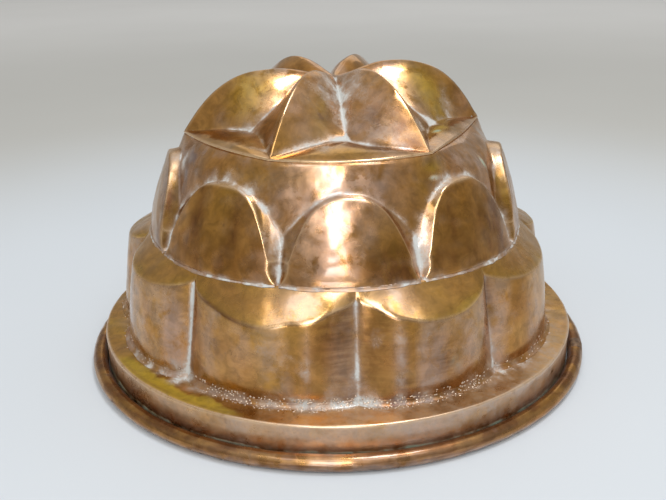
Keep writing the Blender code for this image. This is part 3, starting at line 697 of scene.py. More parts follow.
def makeArches():
    # archGrid hammered and knocked; its marks follow the arches' heads, edges, grooves and foot
    turns, shares, outer, head, rim, conic = archGrid()
    outer = softened(outer, 2)
    heights = outer[:, :, 2]
    index = stretchAt(turns, archShape["feet"])[0]
    drumTop = crownShape["edge"] - crownShape["seat"]
    ends = smooth(0, 4 * mm, drumTop - heights) * smooth(0, 3 * mm, heights - archShape["foot"])
    outer = dented(outer, 1.9, 31, ends, 0.3)
    knock = 0
    for turn, height, wide, tall, out in archShape["knocks"]:
        knock = knock + out * mm * patch(turns, heights, turn, height * mm, wide, tall * mm)
    outer = outer + knock[:, :, None] * gridNormals(outer)
    broken = clouds(outer, 8, 33, -1.1, 0.9)
    above = heights - head
    cone = (np.arange(len(outer)) < conic)[:, None]
    beyond = np.abs(shares) - archEdgeShare
    face = smooth(0, 0.1, -beyond) * ~cone
    side = ~cone * np.maximum(smooth(0, 0.5 * mm, heights - rim), smooth(-0.01, 0.03, beyond))
    spots = spotted(turns, heights, archSpots, broken, cone=cone, face=face, side=side, even=side == 0)
    residue, oxide, olive, rose, wearAndHighlight, stain, verdigris = spots
    veil = np.exp(-np.clip(above - 0.3 * mm, 0, None) / (mm * np.array(archShape["veilFalls"])[index]))
    strong = np.array(archShape["veils"])[index]
    residue += cone * strong * veil * (0.35 + 0.65 * broken)
    residue += ~cone * line(above, 0.9 * mm) * strong * (0.5 + 0.5 * broken)
    grooveGap = (1 - np.abs(shares)) * archPitch
    groove = smooth(0, 6 * mm, archShape["spring"] + 2 * mm - heights)
    residue += 0.85 * line(grooveGap, 1.1 * mm) * groove * (0.5 + 0.5 * broken)
    residue += 0.5 * line(grooveGap, 3.6 * mm) * groove * (0.3 + 0.7 * broken)
    residue += 0.6 * line(heights - archShape["foot"], 1.3 * mm) * (0.2 + 0.8 * broken)
    residue += 0.12 * clouds(outer, 13, 48, 0.3, 1.4) * (0.4 + 0.6 * broken) + 0.5 * verdigris * broken
    # painted highlight, partly wear: a bright line along the faces' edges and their upper edge
    edgeGap = np.where(heights < rim + 1 * mm, np.abs(beyond) * archPitch, 1)
    wearAndHighlight += 0.7 * ~cone * line(np.minimum(edgeGap, np.abs(heights - rim) * 0.8), 0.5 * mm)
    # painted shade in tarnish tones: darker olive, stain and oxide on the outer arches' sides and on the
    # left arch's right strip dim their reflections
    shadedFlanks = side * (beside(turns, -63, 6) + beside(turns, 66, 6))
    olive += 0.9 * shadedFlanks + 0.9 * side * beside(turns, -18, 4.5) + 0.2 * clouds(outer, 28, 37, -0.3, 1.2)
    pink = 0.4 * clouds(outer, 24, 38, 0.2, 1.2) + 0.5 * clouds(outer, 9, 46, 0.2, 1.2)
    rose += pink * (1 - 0.6 * face * (1 - beside(turns, 2, 20)))
    stain += 0.5 * face * line(heights - 72 * mm, 8 * mm) + 0.9 * side * beside(turns, -17.5, 4.5)
    stain += 0.6 * face * clouds(outer * (1, 1, 0.25), 14, 36, 0.2, 1.3) + 0.7 * shadedFlanks
    stain += 0.4 * clouds(outer * (1, 1, 0.6), 11, 47, 0.1, 1.2) * (1 - 0.7 * beside(turns, -1, 12))
    oxide += 0.2 * shadedFlanks + 0.3 * clouds(outer, 7, 49, 0.9, 1.7) * broken
    marks = fields(outer, residue, oxide, olive, rose, wearAndHighlight, stain, verdigris)
    drum = sheet("archSheet", outer, sheetMetal["thickness"], marks)
    return drum, tinned("archTin", trimmed(outer, conic, crownShape["edge"] - archShape["tinDrop"]))


def makeArchSolder():
    # a thin line of solder whitened in patches: a hollow quarter curve out to the ledge, wavering in width
    turns, _ = spread(lobeShape["valleys"], clustered(72, 0.3))
    foot, top = archFoot(turns), lobeShape["ledgeTop"]
    edge, edgeHeight = ledgeEdge(turns)
    slope = np.minimum((top - edgeHeight) / (edge - foot), jointShape["archSteepest"])
    spots = place(foot, turns, top)
    white = 0.35 + clouds(spots, 12, 43, -0.8, 0.6) * (0.45 + 0.3 * waves(spots, 3.5 * mm, 44))
    dark = 0.25 + 0.25 * waves(spots, 6 * mm, 45)
    foot = foot - jointShape["archSunk"]
    spots = place(foot, turns, top)
    wander = 1 + 0.3 * (0.6 * waves(spots, 14 * mm, 41) + 0.4 * waves(spots, 5 * mm, 42))
    leg = jointShape["archLeg"] * np.clip(wander, 0.35, 1.9)
    angles = np.linspace(0, math.pi / 2, 8)[:, None]
    out = leg * (1 - np.cos(angles))
    rows = [place(foot + out, turns, top + leg * (1 - np.sin(angles)) - slope * out)]
    rows = np.concatenate(rows + [place(foot, turns, top - 0.1 * mm)[None]])
    return ringMesh("archSolder", rows, True, None, fields(rows, white, dark, 0, 0.5))


def lobeGrid():
    # the turned edge is a quadratic curve through the corner between the ledge and the wall
    turns, shares = spread(lobeShape["valleys"], clustered(detail["lobeShares"], 0.62))
    start = archFoot(turns)
    edge, edgeHeight = ledgeEdge(turns)
    top, fall = lobeShape["ledgeTop"], edgeHeight - lobeShape["footHeight"]
    kept = 1 - lobeShape["ledgeRound"] / np.hypot(edge - start, top - edgeHeight)
    first = lobeShape["ledgeRound"] / fall
    a, b, c = (np.linspace(0, 1, count)[:, None] for count in detail["lobeRows"])
    a, b, c = a * kept, b[1:-1], first + (1 - first) * c
    ledge = np.stack([start + (edge - start) * a, top + (edgeHeight - top) * a])
    wall = np.stack([wallRadius(turns, edgeHeight - fall * c), edgeHeight - fall * c])
    corner = 2 * b * (1 - b) * np.stack([edge, edgeHeight])[:, None]
    corner = corner + (1 - b) ** 2 * ledge[:, -1:] + b ** 2 * wall[:, :1]
    radii, heights = np.concatenate([ledge, corner, wall], axis=1)
    isWall = (np.arange(len(radii)) >= len(a) + 3)[:, None]  # from the middle of the turned edge down
    return turns, shares, place(radii, turns, heights), edge, edgeHeight, isWall


def wallRadius(turns, heights):
    # straight from foot to edge with a belly between
    foot, base = lobeFoot(turns), lobeShape["footHeight"]
    edge, edgeHeight = ledgeEdge(turns)
    share = np.clip((edgeHeight - heights) / (edgeHeight - base), 0, 1.1)
    swell = 4 * share * (1 - share) * (1 - stretchAt(turns, lobeShape["valleys"])[1] ** 2)
    return edge + (foot - edge) * share + lobeShape["belly"] * swell


# on the lobes' walls heights are above the floor, and for footSpots above the walls' foot
lobeSpots = {
    "residue wall": ((0.5, 14.2, 40, 1.4, 24, 0.5), (0.3, -7, 38, 1.0, 26, 0.5)),
    "rose wall": ((0.7, 14.2, 40, 1.4, 24), (0.42, -7, 38, 1.0, 26), (0.5, -60, 40, 16, 30)),
    "stain wall": ((0.6, -29, 40, 2.6, 6), (0.6, 25, 38, 3.5, 8)),
    "oxide wall": ((0.4, -30, 42, 2.2, 6),),
    "verdigris wall": ((0.4, 28, 36, 3.5, 8),),
}
footSpots = {
    "residue": ((0.6, -55, -0.5, 15, 3, 0.4), (0.25, -4, -1, 30, 4), (0.35, -6, 2, 12, 3, 0.4)),
    "stain": ((0.5, 3, 0, 34, 6),),
}


def valleyDistance(shares, radii):
    # metres round to the nearest of the lobes' valleys
    return (1 - np.abs(shares)) * math.pi / len(lobeShape["valleys"]) * radii


def wallTones(points, turns, shares):
    # residue, oxide, olive, rose, wear and stain of the lobes' walls near their foot, on the fillet too
    columns = points * (1, 1, 0.2)
    up = points[:, :, 2] - lobeShape["footHeight"]
    broken = clouds(points, 8, 53, -1.1, 0.9)
    residue, _, _, _, _, stain, _ = spotted(turns, up, footSpots, broken)
    corner = np.hypot(valleyDistance(shares, lobeShape["footRadius"]), up * 0.7)
    residue += 0.45 * line(corner, 7 * mm) * (0.5 + 0.5 * broken) + 0.25 * line(up, 6 * mm) * broken
    oxide = 0.8 * line(up - 1 * mm, 3.5 * mm) * (0.4 + 0.6 * beside(turns, 3, 34))
    oxide *= clouds(points, 6, 58, -0.9, 0.4)
    olive, rose = 0.35 * clouds(columns, 18, 56, -0.2, 1.2), 0.75 * clouds(columns, 26, 55, -0.5, 1.2)
    stain += 0.4 * clouds(columns, 16, 54, 0.1, 1.4) + 0.6 * beside(turns, 14, 24)
    return residue, oxide, olive, rose, 0.0, stain


def makeLobes():
    # lobeGrid hammered; its marks follow the valleys, the turned edge and the foot
    turns, shares, outer, edge, edgeHeight, wall = lobeGrid()
    outer = softened(outer, 2)
    heights = outer[:, :, 2]
    radii = np.hypot(outer[:, :, 0], outer[:, :, 1])
    top, base = lobeShape["ledgeTop"], lobeShape["footHeight"]
    ends = smooth(0, 3 * mm, top - heights) * smooth(2.5 * mm, 7 * mm, heights - base)
    outer = dented(outer, 1.2, 51, ends * smooth(0, 0.1, 1 - np.abs(shares)), 0.5)
    down = np.clip((edgeHeight - heights) / (edgeHeight - base), 0, 1)
    broken = clouds(outer, 8, 53, -1.1, 0.9)
    spots = spotted(turns, heights, lobeSpots, broken, wall=wall)
    tones = [tone * wall for tone in wallTones(outer, turns, shares)] + [0.0]
    residue, oxide, olive, rose, wearAndHighlight, stain, verdigris = map(np.add, spots, tones)
    valleyGap = valleyDistance(shares, radii)
    patchy = clouds(outer * (1, 1, 0.5), 14, 52, -0.6, 0.7)
    show = 0.8 + 0 * down
    for turn, *levels in lobeShape["whiteLines"]:
        show = np.where(turnGap(turns, turn) < 8, np.interp(down, (0, 0.5, 1), levels), show)
    lines = show * line(valleyGap, 0.8 * mm) * (0.45 + 0.55 * patchy)
    lines += 0.45 * show * line(valleyGap, 3.0 * mm) * (0.3 + 0.7 * patchy)
    lines += 0.9 * beside(turns, -40.1, 0.7) * smooth(0.6, 0.1, down)
    residue += lines * smooth(0, 0.02, down)
    residue += ~wall * (0.4 * line(top - heights, 0.8 * mm) * broken + 0.26 * beside(turns, 68, 22))
    residue += 0.28 * wall * clouds(outer * (1, 1, 0.7), 12, 59, 0.2, 1.4) * (0.4 + 0.6 * broken)
    lip, knocked = np.hypot(radii - edge, heights - edgeHeight), beside(turns, -29, 9)
    # painted highlight, partly wear, along the ledges' turned edge, and a little painted light over the
    # whole ledge
    wearAndHighlight += 0.55 * line(lip, 0.8 * mm) * (1 - knocked) + 0.09 * ~wall
    # a painted sheen on the ledges' highlights either side of the front valley: rose, paler and coated
    rose += 1.5 * ~wall * (beside(turns, -6, 8) + beside(turns, 12, 6))
    olive += ~wall * (0.4 + 0.35 * clouds(outer, 22, 57, -0.6, 1.0))
    olive += 0.4 * wall * line(heights - edgeHeight, 8 * mm)
    olive += 0.5 * ~wall * line(lip, 5 * mm) * np.where(turnGap(turns, 0) > 17, 1, 0.2)
    between = patch(turns, heights, 4, 46 * mm, 9, 16 * mm) * smooth(0, 4 * mm, valleyGap)
    stain += wall * (0.45 * between + 0.8 * line(lip, 0.7 * mm))
    stain += 1.1 * wall * beside(turns, 42.1, 1.6) * smooth(0.7, 0.2, down)
    stain += 0.3 * ~wall * beside(turns, -27, 7) + 1.3 * line(lip, 1.0 * mm) * knocked
    marks = fields(outer, residue, oxide, olive, rose, wearAndHighlight, stain, verdigris)
    return sheet("lobeSheet", outer, sheetMetal["thickness"], marks), tinned("lobeTin", outer)


collarShape = {
    "radius": 122.2 * mm,
    "height": 19.3 * mm,
    "fall": 0.7 * mm,
    "lift": 0.5 * mm,
    "round": 1.0 * mm,
    "shelf": 11.0 * mm,  # the shoulder's width, over which it falls
    "overlap": 1.0 * mm,  # how far it goes in under the lobes' foot
    "hollow": 0.35 * mm,  # how far the band is sunk in half way up
    "polished": 15.5 * mm,  # height down to which the band is rubbed bright
}


def filletSpot(turns, bend):
    # quarter curve from the wall's own slope out to the shoulder's
    leg = jointShape["lobeLeg"]
    height = lobeShape["footHeight"] - jointShape["lobeSunk"] + leg * (1 - np.sin(bend))
    out = leg * (1 - np.cos(bend))
    slope = collarShape["fall"] / collarShape["shelf"]
    return wallRadius(turns, height) + 0.05 * mm + out, height - slope * out


def makeLobeSolder():
    # a wide smooth fillet in the colours of the wall
    turns, shares = spread(lobeShape["valleys"], clustered(72, 0.5))
    radii, heights = filletSpot(turns, np.linspace(0, math.pi / 2, 10)[:, None])
    back = radii[0] - 0.6 * mm
    rows = [place(back, turns, heights[0] - 0.5 * mm)[None], place(radii, turns, heights)]
    rows = np.concatenate(rows + [place(back, turns, heights[-1] - 0.3 * mm)[None]])
    return ringMesh("lobeSolder", rows, True, None, fields(rows, *wallTones(rows, turns, shares)))


def makeCollar():
    # a shoulder that falls straight from the lobes' foot, a quarter turn, and a band that is hollow by
    # half a sine wave; its marks follow the lobes' foot, the edge and the height on the band
    turns, shares = spread(lobeShape["valleys"], clustered(detail["lobeShares"], 0.3))
    hole = lobeFoot(turns) - collarShape["overlap"]
    band, bend, high = collarShape["radius"], collarShape["round"], collarShape["height"]
    edgeHeight = high - collarShape["fall"]
    a, b, c = (np.linspace(0, 1, count)[:, None] + 0 * turns for count in detail["collarRows"])
    b = b[1:-1] * math.pi / 2
    hollow = band - collarShape["hollow"] * np.sin(c * math.pi)
    radii = np.concatenate([hole + (band - bend - hole) * a, band - bend + bend * np.sin(b), hollow])
    wallHeight = edgeHeight - bend + (collarShape["lift"] - edgeHeight + bend) * c
    turnHeight = edgeHeight - bend + bend * np.cos(b)
    heights = np.concatenate([high + (edgeHeight - high) * a, turnHeight, wallHeight])
    ends = smooth(0, 3 * mm, heights - collarShape["lift"]) * smooth(0, 2 * mm, radii - hole)
    outer = dented(place(radii, turns, heights), 0.9, 71, ends)
    radii = np.hypot(outer[:, :, 0], outer[:, :, 1])
    heights = outer[:, :, 2]
    isBand = radii > band - 0.8 * mm
    shelf = ~isBand
    broken = clouds(outer, 8, 72, -1.1, 0.9)
    footGap = radii - hole - 1.2 * mm
    corner = np.hypot(valleyDistance(shares, radii), footGap)
    spot = patch(turns, radii, -42, 110 * mm, 9, 3.5 * mm)
    white = (0.25 * line(footGap, 4.5 * mm) + 0.4 * line(corner, 6.5 * mm)) * broken
    white += 0.8 * spot * (0.4 + 0.6 * broken) + 0.28 * beside(turns, -3, 24) + 0.42 * beside(turns, 50, 34)
    residue = isBand * (0.3 + 0.1 * beside(turns, 42, 26) - 0.08 * beside(turns, -45, 25)) + shelf * white
    low = collarShape["polished"] - heights
    rag = waves(outer, 18 * mm, 75) * 1.3 * mm + waves(outer, 5 * mm, 76) * 0.7 * mm
    dark = 0.45 * smooth(9 * mm, 12 * mm, low + rag) + 0.35 * clouds(outer, 6, 74, 0.9, 1.6)
    dark += 0.35 * smooth(8.8 * mm, 10.6 * mm, low + 1.3 * rag) * beside(turns, 40, 28)
    oxide = isBand * dark + 0.4 * shelf * line(footGap, 2.5 * mm) * beside(turns, 3, 38)
    residue = residue * (1 - np.clip(1.2 * isBand * oxide, 0, 1))
    along = smooth(24, 12, turnGap(turns, -40))
    brushed = radii + 1.2 * mm * waves(outer, 14 * mm, 82) + 0.8 * mm * waves(outer, 4 * mm, 89)
    yellow = along * smooth(116.5 * mm - 5 * mm * along, 121 * mm - 2.5 * mm * along, brushed)
    # painted reflection: a golden patch on the shoulder in front, where it mirrors the lobes' wall
    frontReflection = shelf * beside(turns, 6, 11) * smooth(113 * mm, 118 * mm, radii)
    olive = shelf * (1.75 * yellow + 0.65 + 0.2 * waves(outer, 20 * mm, 73)) + 0.4 * frontReflection
    rose = isBand * (0.7 - 0.5 * beside(turns, -45, 25) + 0.25 * waves(outer, 25 * mm, 77))
    rose += shelf * (0.3 * clouds(outer, 18, 80, 0, 1) + 0.5 * beside(turns, 3, 14))
    # bright line along the shoulder's turned edge, painted highlight and partly wear; the band's upper part
    # rubbed brighter, the golden patch in front, and the shoulder at turn 28 made brighter
    wearAndHighlight = 0.8 * line(np.hypot(radii - band, heights - edgeHeight), 0.9 * mm)
    wearAndHighlight += 0.3 * isBand * smooth(9 * mm, 6 * mm, low) + 0.4 * frontReflection + 0.3 * shelf * beside(turns, 28, 24)
    stain = 0.5 * isBand * clouds(outer, 5, 79, 1.0, 1.6) + 0.5 * yellow * line(radii - 120 * mm, 0.8 * mm)
    stain += 0.2 * (shelf & (yellow < 0.1)) * clouds(outer, 12, 78, 0.4, 1.4)
    verdigris = isBand * 0.6 * smooth(9.0 * mm, 10.0 * mm, low + 0.3 * rag)
    marks = fields(outer, residue, oxide, olive, rose, wearAndHighlight, stain, verdigris)
    return sheet("collarSheet", outer, sheetMetal["thickness"], marks), tinned("collarTin", outer)


rimShape = {
    "radius": 130 * mm,
    "bead": 3.75 * mm,  # half the roll's thickness
    "strip": 0.8 * mm,
    "wobble": 0.12 * mm,
    "jointTurn": 77,
    "slit": 166,  # degrees up and round the roll to its two edges
    "groove": (100, 140),  # and to where the dark in its groove begins and is full
    "jointHalf": 2.2,  # degrees round the rim to the joint's end
    "jointMiddle": 82,  # degrees up and round the roll, and the same to its lower and upper end
    "jointReach": 58,
    "jointThick": 0.75 * mm,
    "jointMost": 0.9 * mm,
    "jointSunk": 0.25 * mm,
}


def beadSection(reach, angles, turns):
    # angles go up from straight outwards, round the middle of the roll
    centre = rimShape["radius"] - rimShape["bead"]
    return place(centre + reach * np.cos(angles), turns, rimShape["bead"] + reach * np.sin(angles))


def makeRim():
    # an open roll: an arc from edge to edge of the strip, dented by waves, and the strip's inner side
    # within it, both carried round the rim
    turns = np.arange(detail["rimTurns"]) * 360 / detail["rimTurns"]
    slit = math.radians(rimShape["slit"])
    angles = np.linspace(-slit, slit, 45)[:, None]
    uneven = rimShape["wobble"] * waves(beadSection(rimShape["bead"], angles, turns), 14 * mm, 81)
    keep = smooth(0.25, 0.6, np.abs(angles + math.pi / 2)) * smooth(0.2, 0.5, np.abs(angles))
    outer = beadSection(rimShape["bead"] - np.abs(uneven) * keep, angles, turns)
    inner = beadSection(rimShape["bead"] - rimShape["strip"], angles[::-1] * 0.98, turns)
    groove = smooth(*np.radians(rimShape["groove"]), angles)
    # a thin dark line round the middle of the roll
    middleLine = line(angles - math.radians(2), 0.06) * clouds(outer, 30, 84, -0.5, 0.7)
    oxide = 0.8 * smooth(0.3, 0.9, groove + 0.175 * waves(outer, 12 * mm, 83)) + 0.6 * middleLine
    oxide += 0.4 * clouds(outer, 7, 88, 0.6, 1.4)
    oxide += 0.9 * beside(turns, rimShape["jointTurn"], 2.4) * clouds(outer, 4, 85, -0.2, 0.8)
    # painted reflection: olive and stain darken the upper half, where the room mirrors in it, and rose
    # paints the pale floor's reflection on the lower half; at the front, rose is a painted sheen and stain a
    # painted shade that dims the window's highlight
    olive = 0.5 * smooth(0.1, 0.6, angles) * (1 - groove)
    rose = 0.8 * smooth(0.1, -0.4, angles) + 0.8 * beside(turns, 2, 26)
    # painted highlight: a bright line round the roll, 38 degrees up
    wearAndHighlight = 0.12 * line(angles - math.radians(38), 0.25)
    stain = 0.75 * smooth(0.1, 0.7, angles) * clouds(outer, 22, 87, -0.6, 0.6) + 0.5
    stain += 0.5 * beside(turns, 2, 30) + 0.5 * clouds(outer * (1, 1, 3), 9, 92, 0.0, 0.9)
    verdigris = 0.3 * groove * clouds(outer, 9, 86, -0.3, 0.9)
    marks = fields(outer, 0, oxide, olive, rose, wearAndHighlight, stain, verdigris)
    return ringMesh("rimRoll", np.concatenate([outer, inner]), True, None, marks)


def makeRimJoint():
    # blotch of solder over the roll, thickest in its middle, its outline ragged
    half = rimShape["jointHalf"]
    across = np.linspace(-1, 1, 25)
    up = np.linspace(-1, 1, 33)[:, None]
    turns = rimShape["jointTurn"] + half * across
    angles = math.radians(rimShape["jointMiddle"]) + math.radians(rimShape["jointReach"]) * up
    rim = np.maximum(np.abs(across), np.abs(up))
    thickness = rimShape["jointThick"] * (1 - rim ** 2)
    spots = beadSection(rimShape["bead"], angles, turns)
    thickness *= np.clip(1 + 0.45 * waves(spots, 4 * mm, 91), 0.1, 1.6)
    outer = beadSection(rimShape["bead"] + np.minimum(thickness, rimShape["jointMost"]), angles, turns)
    under = beadSection(rimShape["bead"] - rimShape["jointSunk"], angles, turns)
    count, wide = rim.shape
    points = np.concatenate([outer.reshape(-1, 3), under.reshape(-1, 3)])
    number = np.arange(count * wide).reshape(count, wide)
    top = np.stack([number[:-1, :-1], number[1:, :-1], number[1:, 1:], number[:-1, 1:]], axis=-1)
    top = top.reshape(-1, 4)
    border = np.concatenate([number[0, :-1], number[:-1, -1], number[-1, :0:-1], number[:0:-1, 0]])
    ahead = np.roll(border, -1)
    total = count * wide
    sides = np.stack([border, border + total, ahead + total, ahead], axis=-1)
    quads = np.concatenate([top, sides[:, ::-1], (top + total)[:, ::-1]])
    return finishMesh("rimJoint", points, quads.ravel(), np.full(len(quads), 4), None)


footSpecks = {
    # places from the wall over the fillet to the shoulder, in degrees of it
    "rows": (-40, -18, 4, 24, 46, 66, 86, 104),
    "step": 0.86,  # degrees between neighbours
    "turns": (-34, 38),
    "kept": 0.5,
    "keptBehind": 0.12,
    "size": (0.34 * mm, 0.6 * mm),
    "flat": 0.45,
    "seed": 65,
}


def makeFootSpecks():
    # low domes of solder: rings of eight points whose height is one minus the square of their share
    rng = np.random.default_rng(footSpecks["seed"])
    places = np.arange(0, 360, footSpecks["step"])
    turns = np.tile(places, len(footSpecks["rows"])) - 180
    slope = np.repeat(np.array(footSpecks["rows"], float), len(places))
    turns = turns + rng.uniform(-0.3, 0.3, len(turns))
    slope += rng.uniform(-11, 11, len(turns))
    low, high = footSpecks["turns"]
    share = np.where((turns > low) & (turns < high), footSpecks["kept"], footSpecks["keptBehind"])
    kept = rng.random(len(turns)) < (1 - 0.55 * np.clip(-slope / 70, 0, 1)) * share
    turns, slope = turns[kept], np.radians(slope[kept])
    count = len(turns)
    bend = np.clip(slope, 0, math.pi / 2)
    radius, height = filletSpot(turns, bend)
    leg = jointShape["lobeLeg"]
    radius += leg * np.maximum(slope - bend, 0)
    height -= leg * np.minimum(slope - bend, 0)
    outward = place(np.cos(bend), turns, np.sin(bend))
    along = place(1.0, turns + 90, 0.0)
    axes = np.stack([along, np.cross(outward, along), outward], axis=1)
    size = rng.uniform(*footSpecks["size"], count)
    scale = np.stack([size * rng.uniform(0.9, 1.4, count), size, footSpecks["flat"] * size], axis=-1)
    spin = np.arange(8) * math.pi / 4
    rings = [(part * np.cos(spin), part * np.sin(spin), 1 - part ** 2 + 0 * spin) for part in (1, 0.62)]
    dome = np.concatenate([np.stack(ring, axis=-1) for ring in rings] + [((0, 0, 1), (0, 0, 0))])
    sunk = np.append(np.full(len(dome) - 1, 0.06), 0.3) * mm  # the last point lies deep under the dome
    points = dome * scale[:, None] - sunk[:, None] * (0, 0, 1)
    points = place(radius, turns, height)[:, None] + points @ axes
    here, after = np.arange(8), (np.arange(8) + 1) % 8
    quads = np.stack([here, after, 8 + after, 8 + here], axis=-1)
    top = np.stack([8 + here, 8 + after, np.full(8, 16)], axis=-1)
    bottom = np.stack([after, here, np.full(8, 17)], axis=-1)
    loops = np.concatenate([quads.ravel(), top.ravel(), bottom.ravel()])
    sizes = np.concatenate([np.full(8, 4), np.full(16, 3)])
    loops = (loops + len(dome) * np.arange(count)[:, None]).ravel()
    return finishMesh("footSpecks", points.reshape(-1, 3), loops, np.tile(sizes, count), None)


def join(sockets, values):
    # links or values by the name or number of the socket they go to
    for key, value in values.items():
        if isinstance(value, bpy.types.NodeSocket):
            value.id_data.links.new(value, sockets[key])
        else:
            sockets[key].default_value = value


def addNode(kind, inputs=None, tree=None, **settings):
    # the tree is needed only where no input is a socket of it
    inputs = inputs or {}
    trees = [value.id_data for value in inputs.values() if isinstance(value, bpy.types.NodeSocket)]
    made = (tree or trees[0]).nodes.new("ShaderNode" + kind)
    for name, value in settings.items():
        setattr(made, name, value)
    join(made.inputs, inputs)
    return made


def mixed(factor, first, second, blend="MIX"):
    ends = {0: factor, 6: first, 7: second}
    return addNode("Mix", ends, data_type="RGBA", blend_type=blend).outputs[2]


def maths(how, first, second=0.0, clamp=False):
    return addNode("Math", {0: first, 1: second}, operation=how, use_clamp=clamp).outputs[0]


def ranged(value, low, high, start=0.0, end=1.0):
    # from start to end in an S curve between low and high
    ends = {"Value": value, "From Min": low, "From Max": high, "To Min": start, "To Max": end}
    return addNode("MapRange", ends, interpolation_type="SMOOTHSTEP").outputs["Result"]


def times(first, second, clamp=False):
    return maths("MULTIPLY", first, second, clamp)


def plus(first, second):
    return maths("ADD", first, second)


def noisy(vector, scale, fineness=3.0, roughness=0.5, distortion=0.0):
    values = {"Vector": vector, "Scale": scale, "Detail": fineness, "Roughness": roughness}
    return addNode("TexNoise", values | {"Distortion": distortion}).outputs[0]


def stretched(vector, scale):
    # a place scaled along each axis, which draws a noise out
    return addNode("Mapping", {"Vector": vector, "Scale": scale}).outputs[0]


def shaderGroup(name, inputs, outputs):
    # the sockets that are given a colour or are called Color are colours, the others are numbers
    group = bpy.data.node_groups.new(name, "ShaderNodeTree")
    kinds = ("NodeSocketFloat", "NodeSocketColor")
    for key, value in inputs.items():
        kind = kinds[isinstance(value, tuple)]
        group.interface.new_socket(key, in_out="INPUT", socket_type=kind).default_value = value
    for key in outputs:
        group.interface.new_socket(key, in_out="OUTPUT", socket_type=kinds[key == "Color"])
    return group, group.nodes.new("NodeGroupInput").outputs, group.nodes.new("NodeGroupOutput").inputs


def colour(red, green, blue):
    return (red, green, blue, 1)


copperLook = {
    "gold": colour(0.53, 0.275, 0.085),
    "brown": colour(0.44, 0.195, 0.05),
    "rose": colour(0.57, 0.335, 0.21),
    "olive": colour(0.46, 0.255, 0.045),
    "yellow": colour(0.42, 0.28, 0.025),
    "stain": colour(0.22, 0.095, 0.03),
    "wornAndHighlight": colour(0.80, 0.55, 0.32),
    "oxide": colour(0.13, 0.078, 0.07),
    "verdigris": colour(0.27, 0.33, 0.24),
    "veil": colour(0.45, 0.37, 0.32),
    "residue": colour(0.56, 0.585, 0.58),
    "cloudScale": 42.0,
    "grainScale": 380.0,
    "crumbScale": 900.0,
    "bump": 0.00012,
}


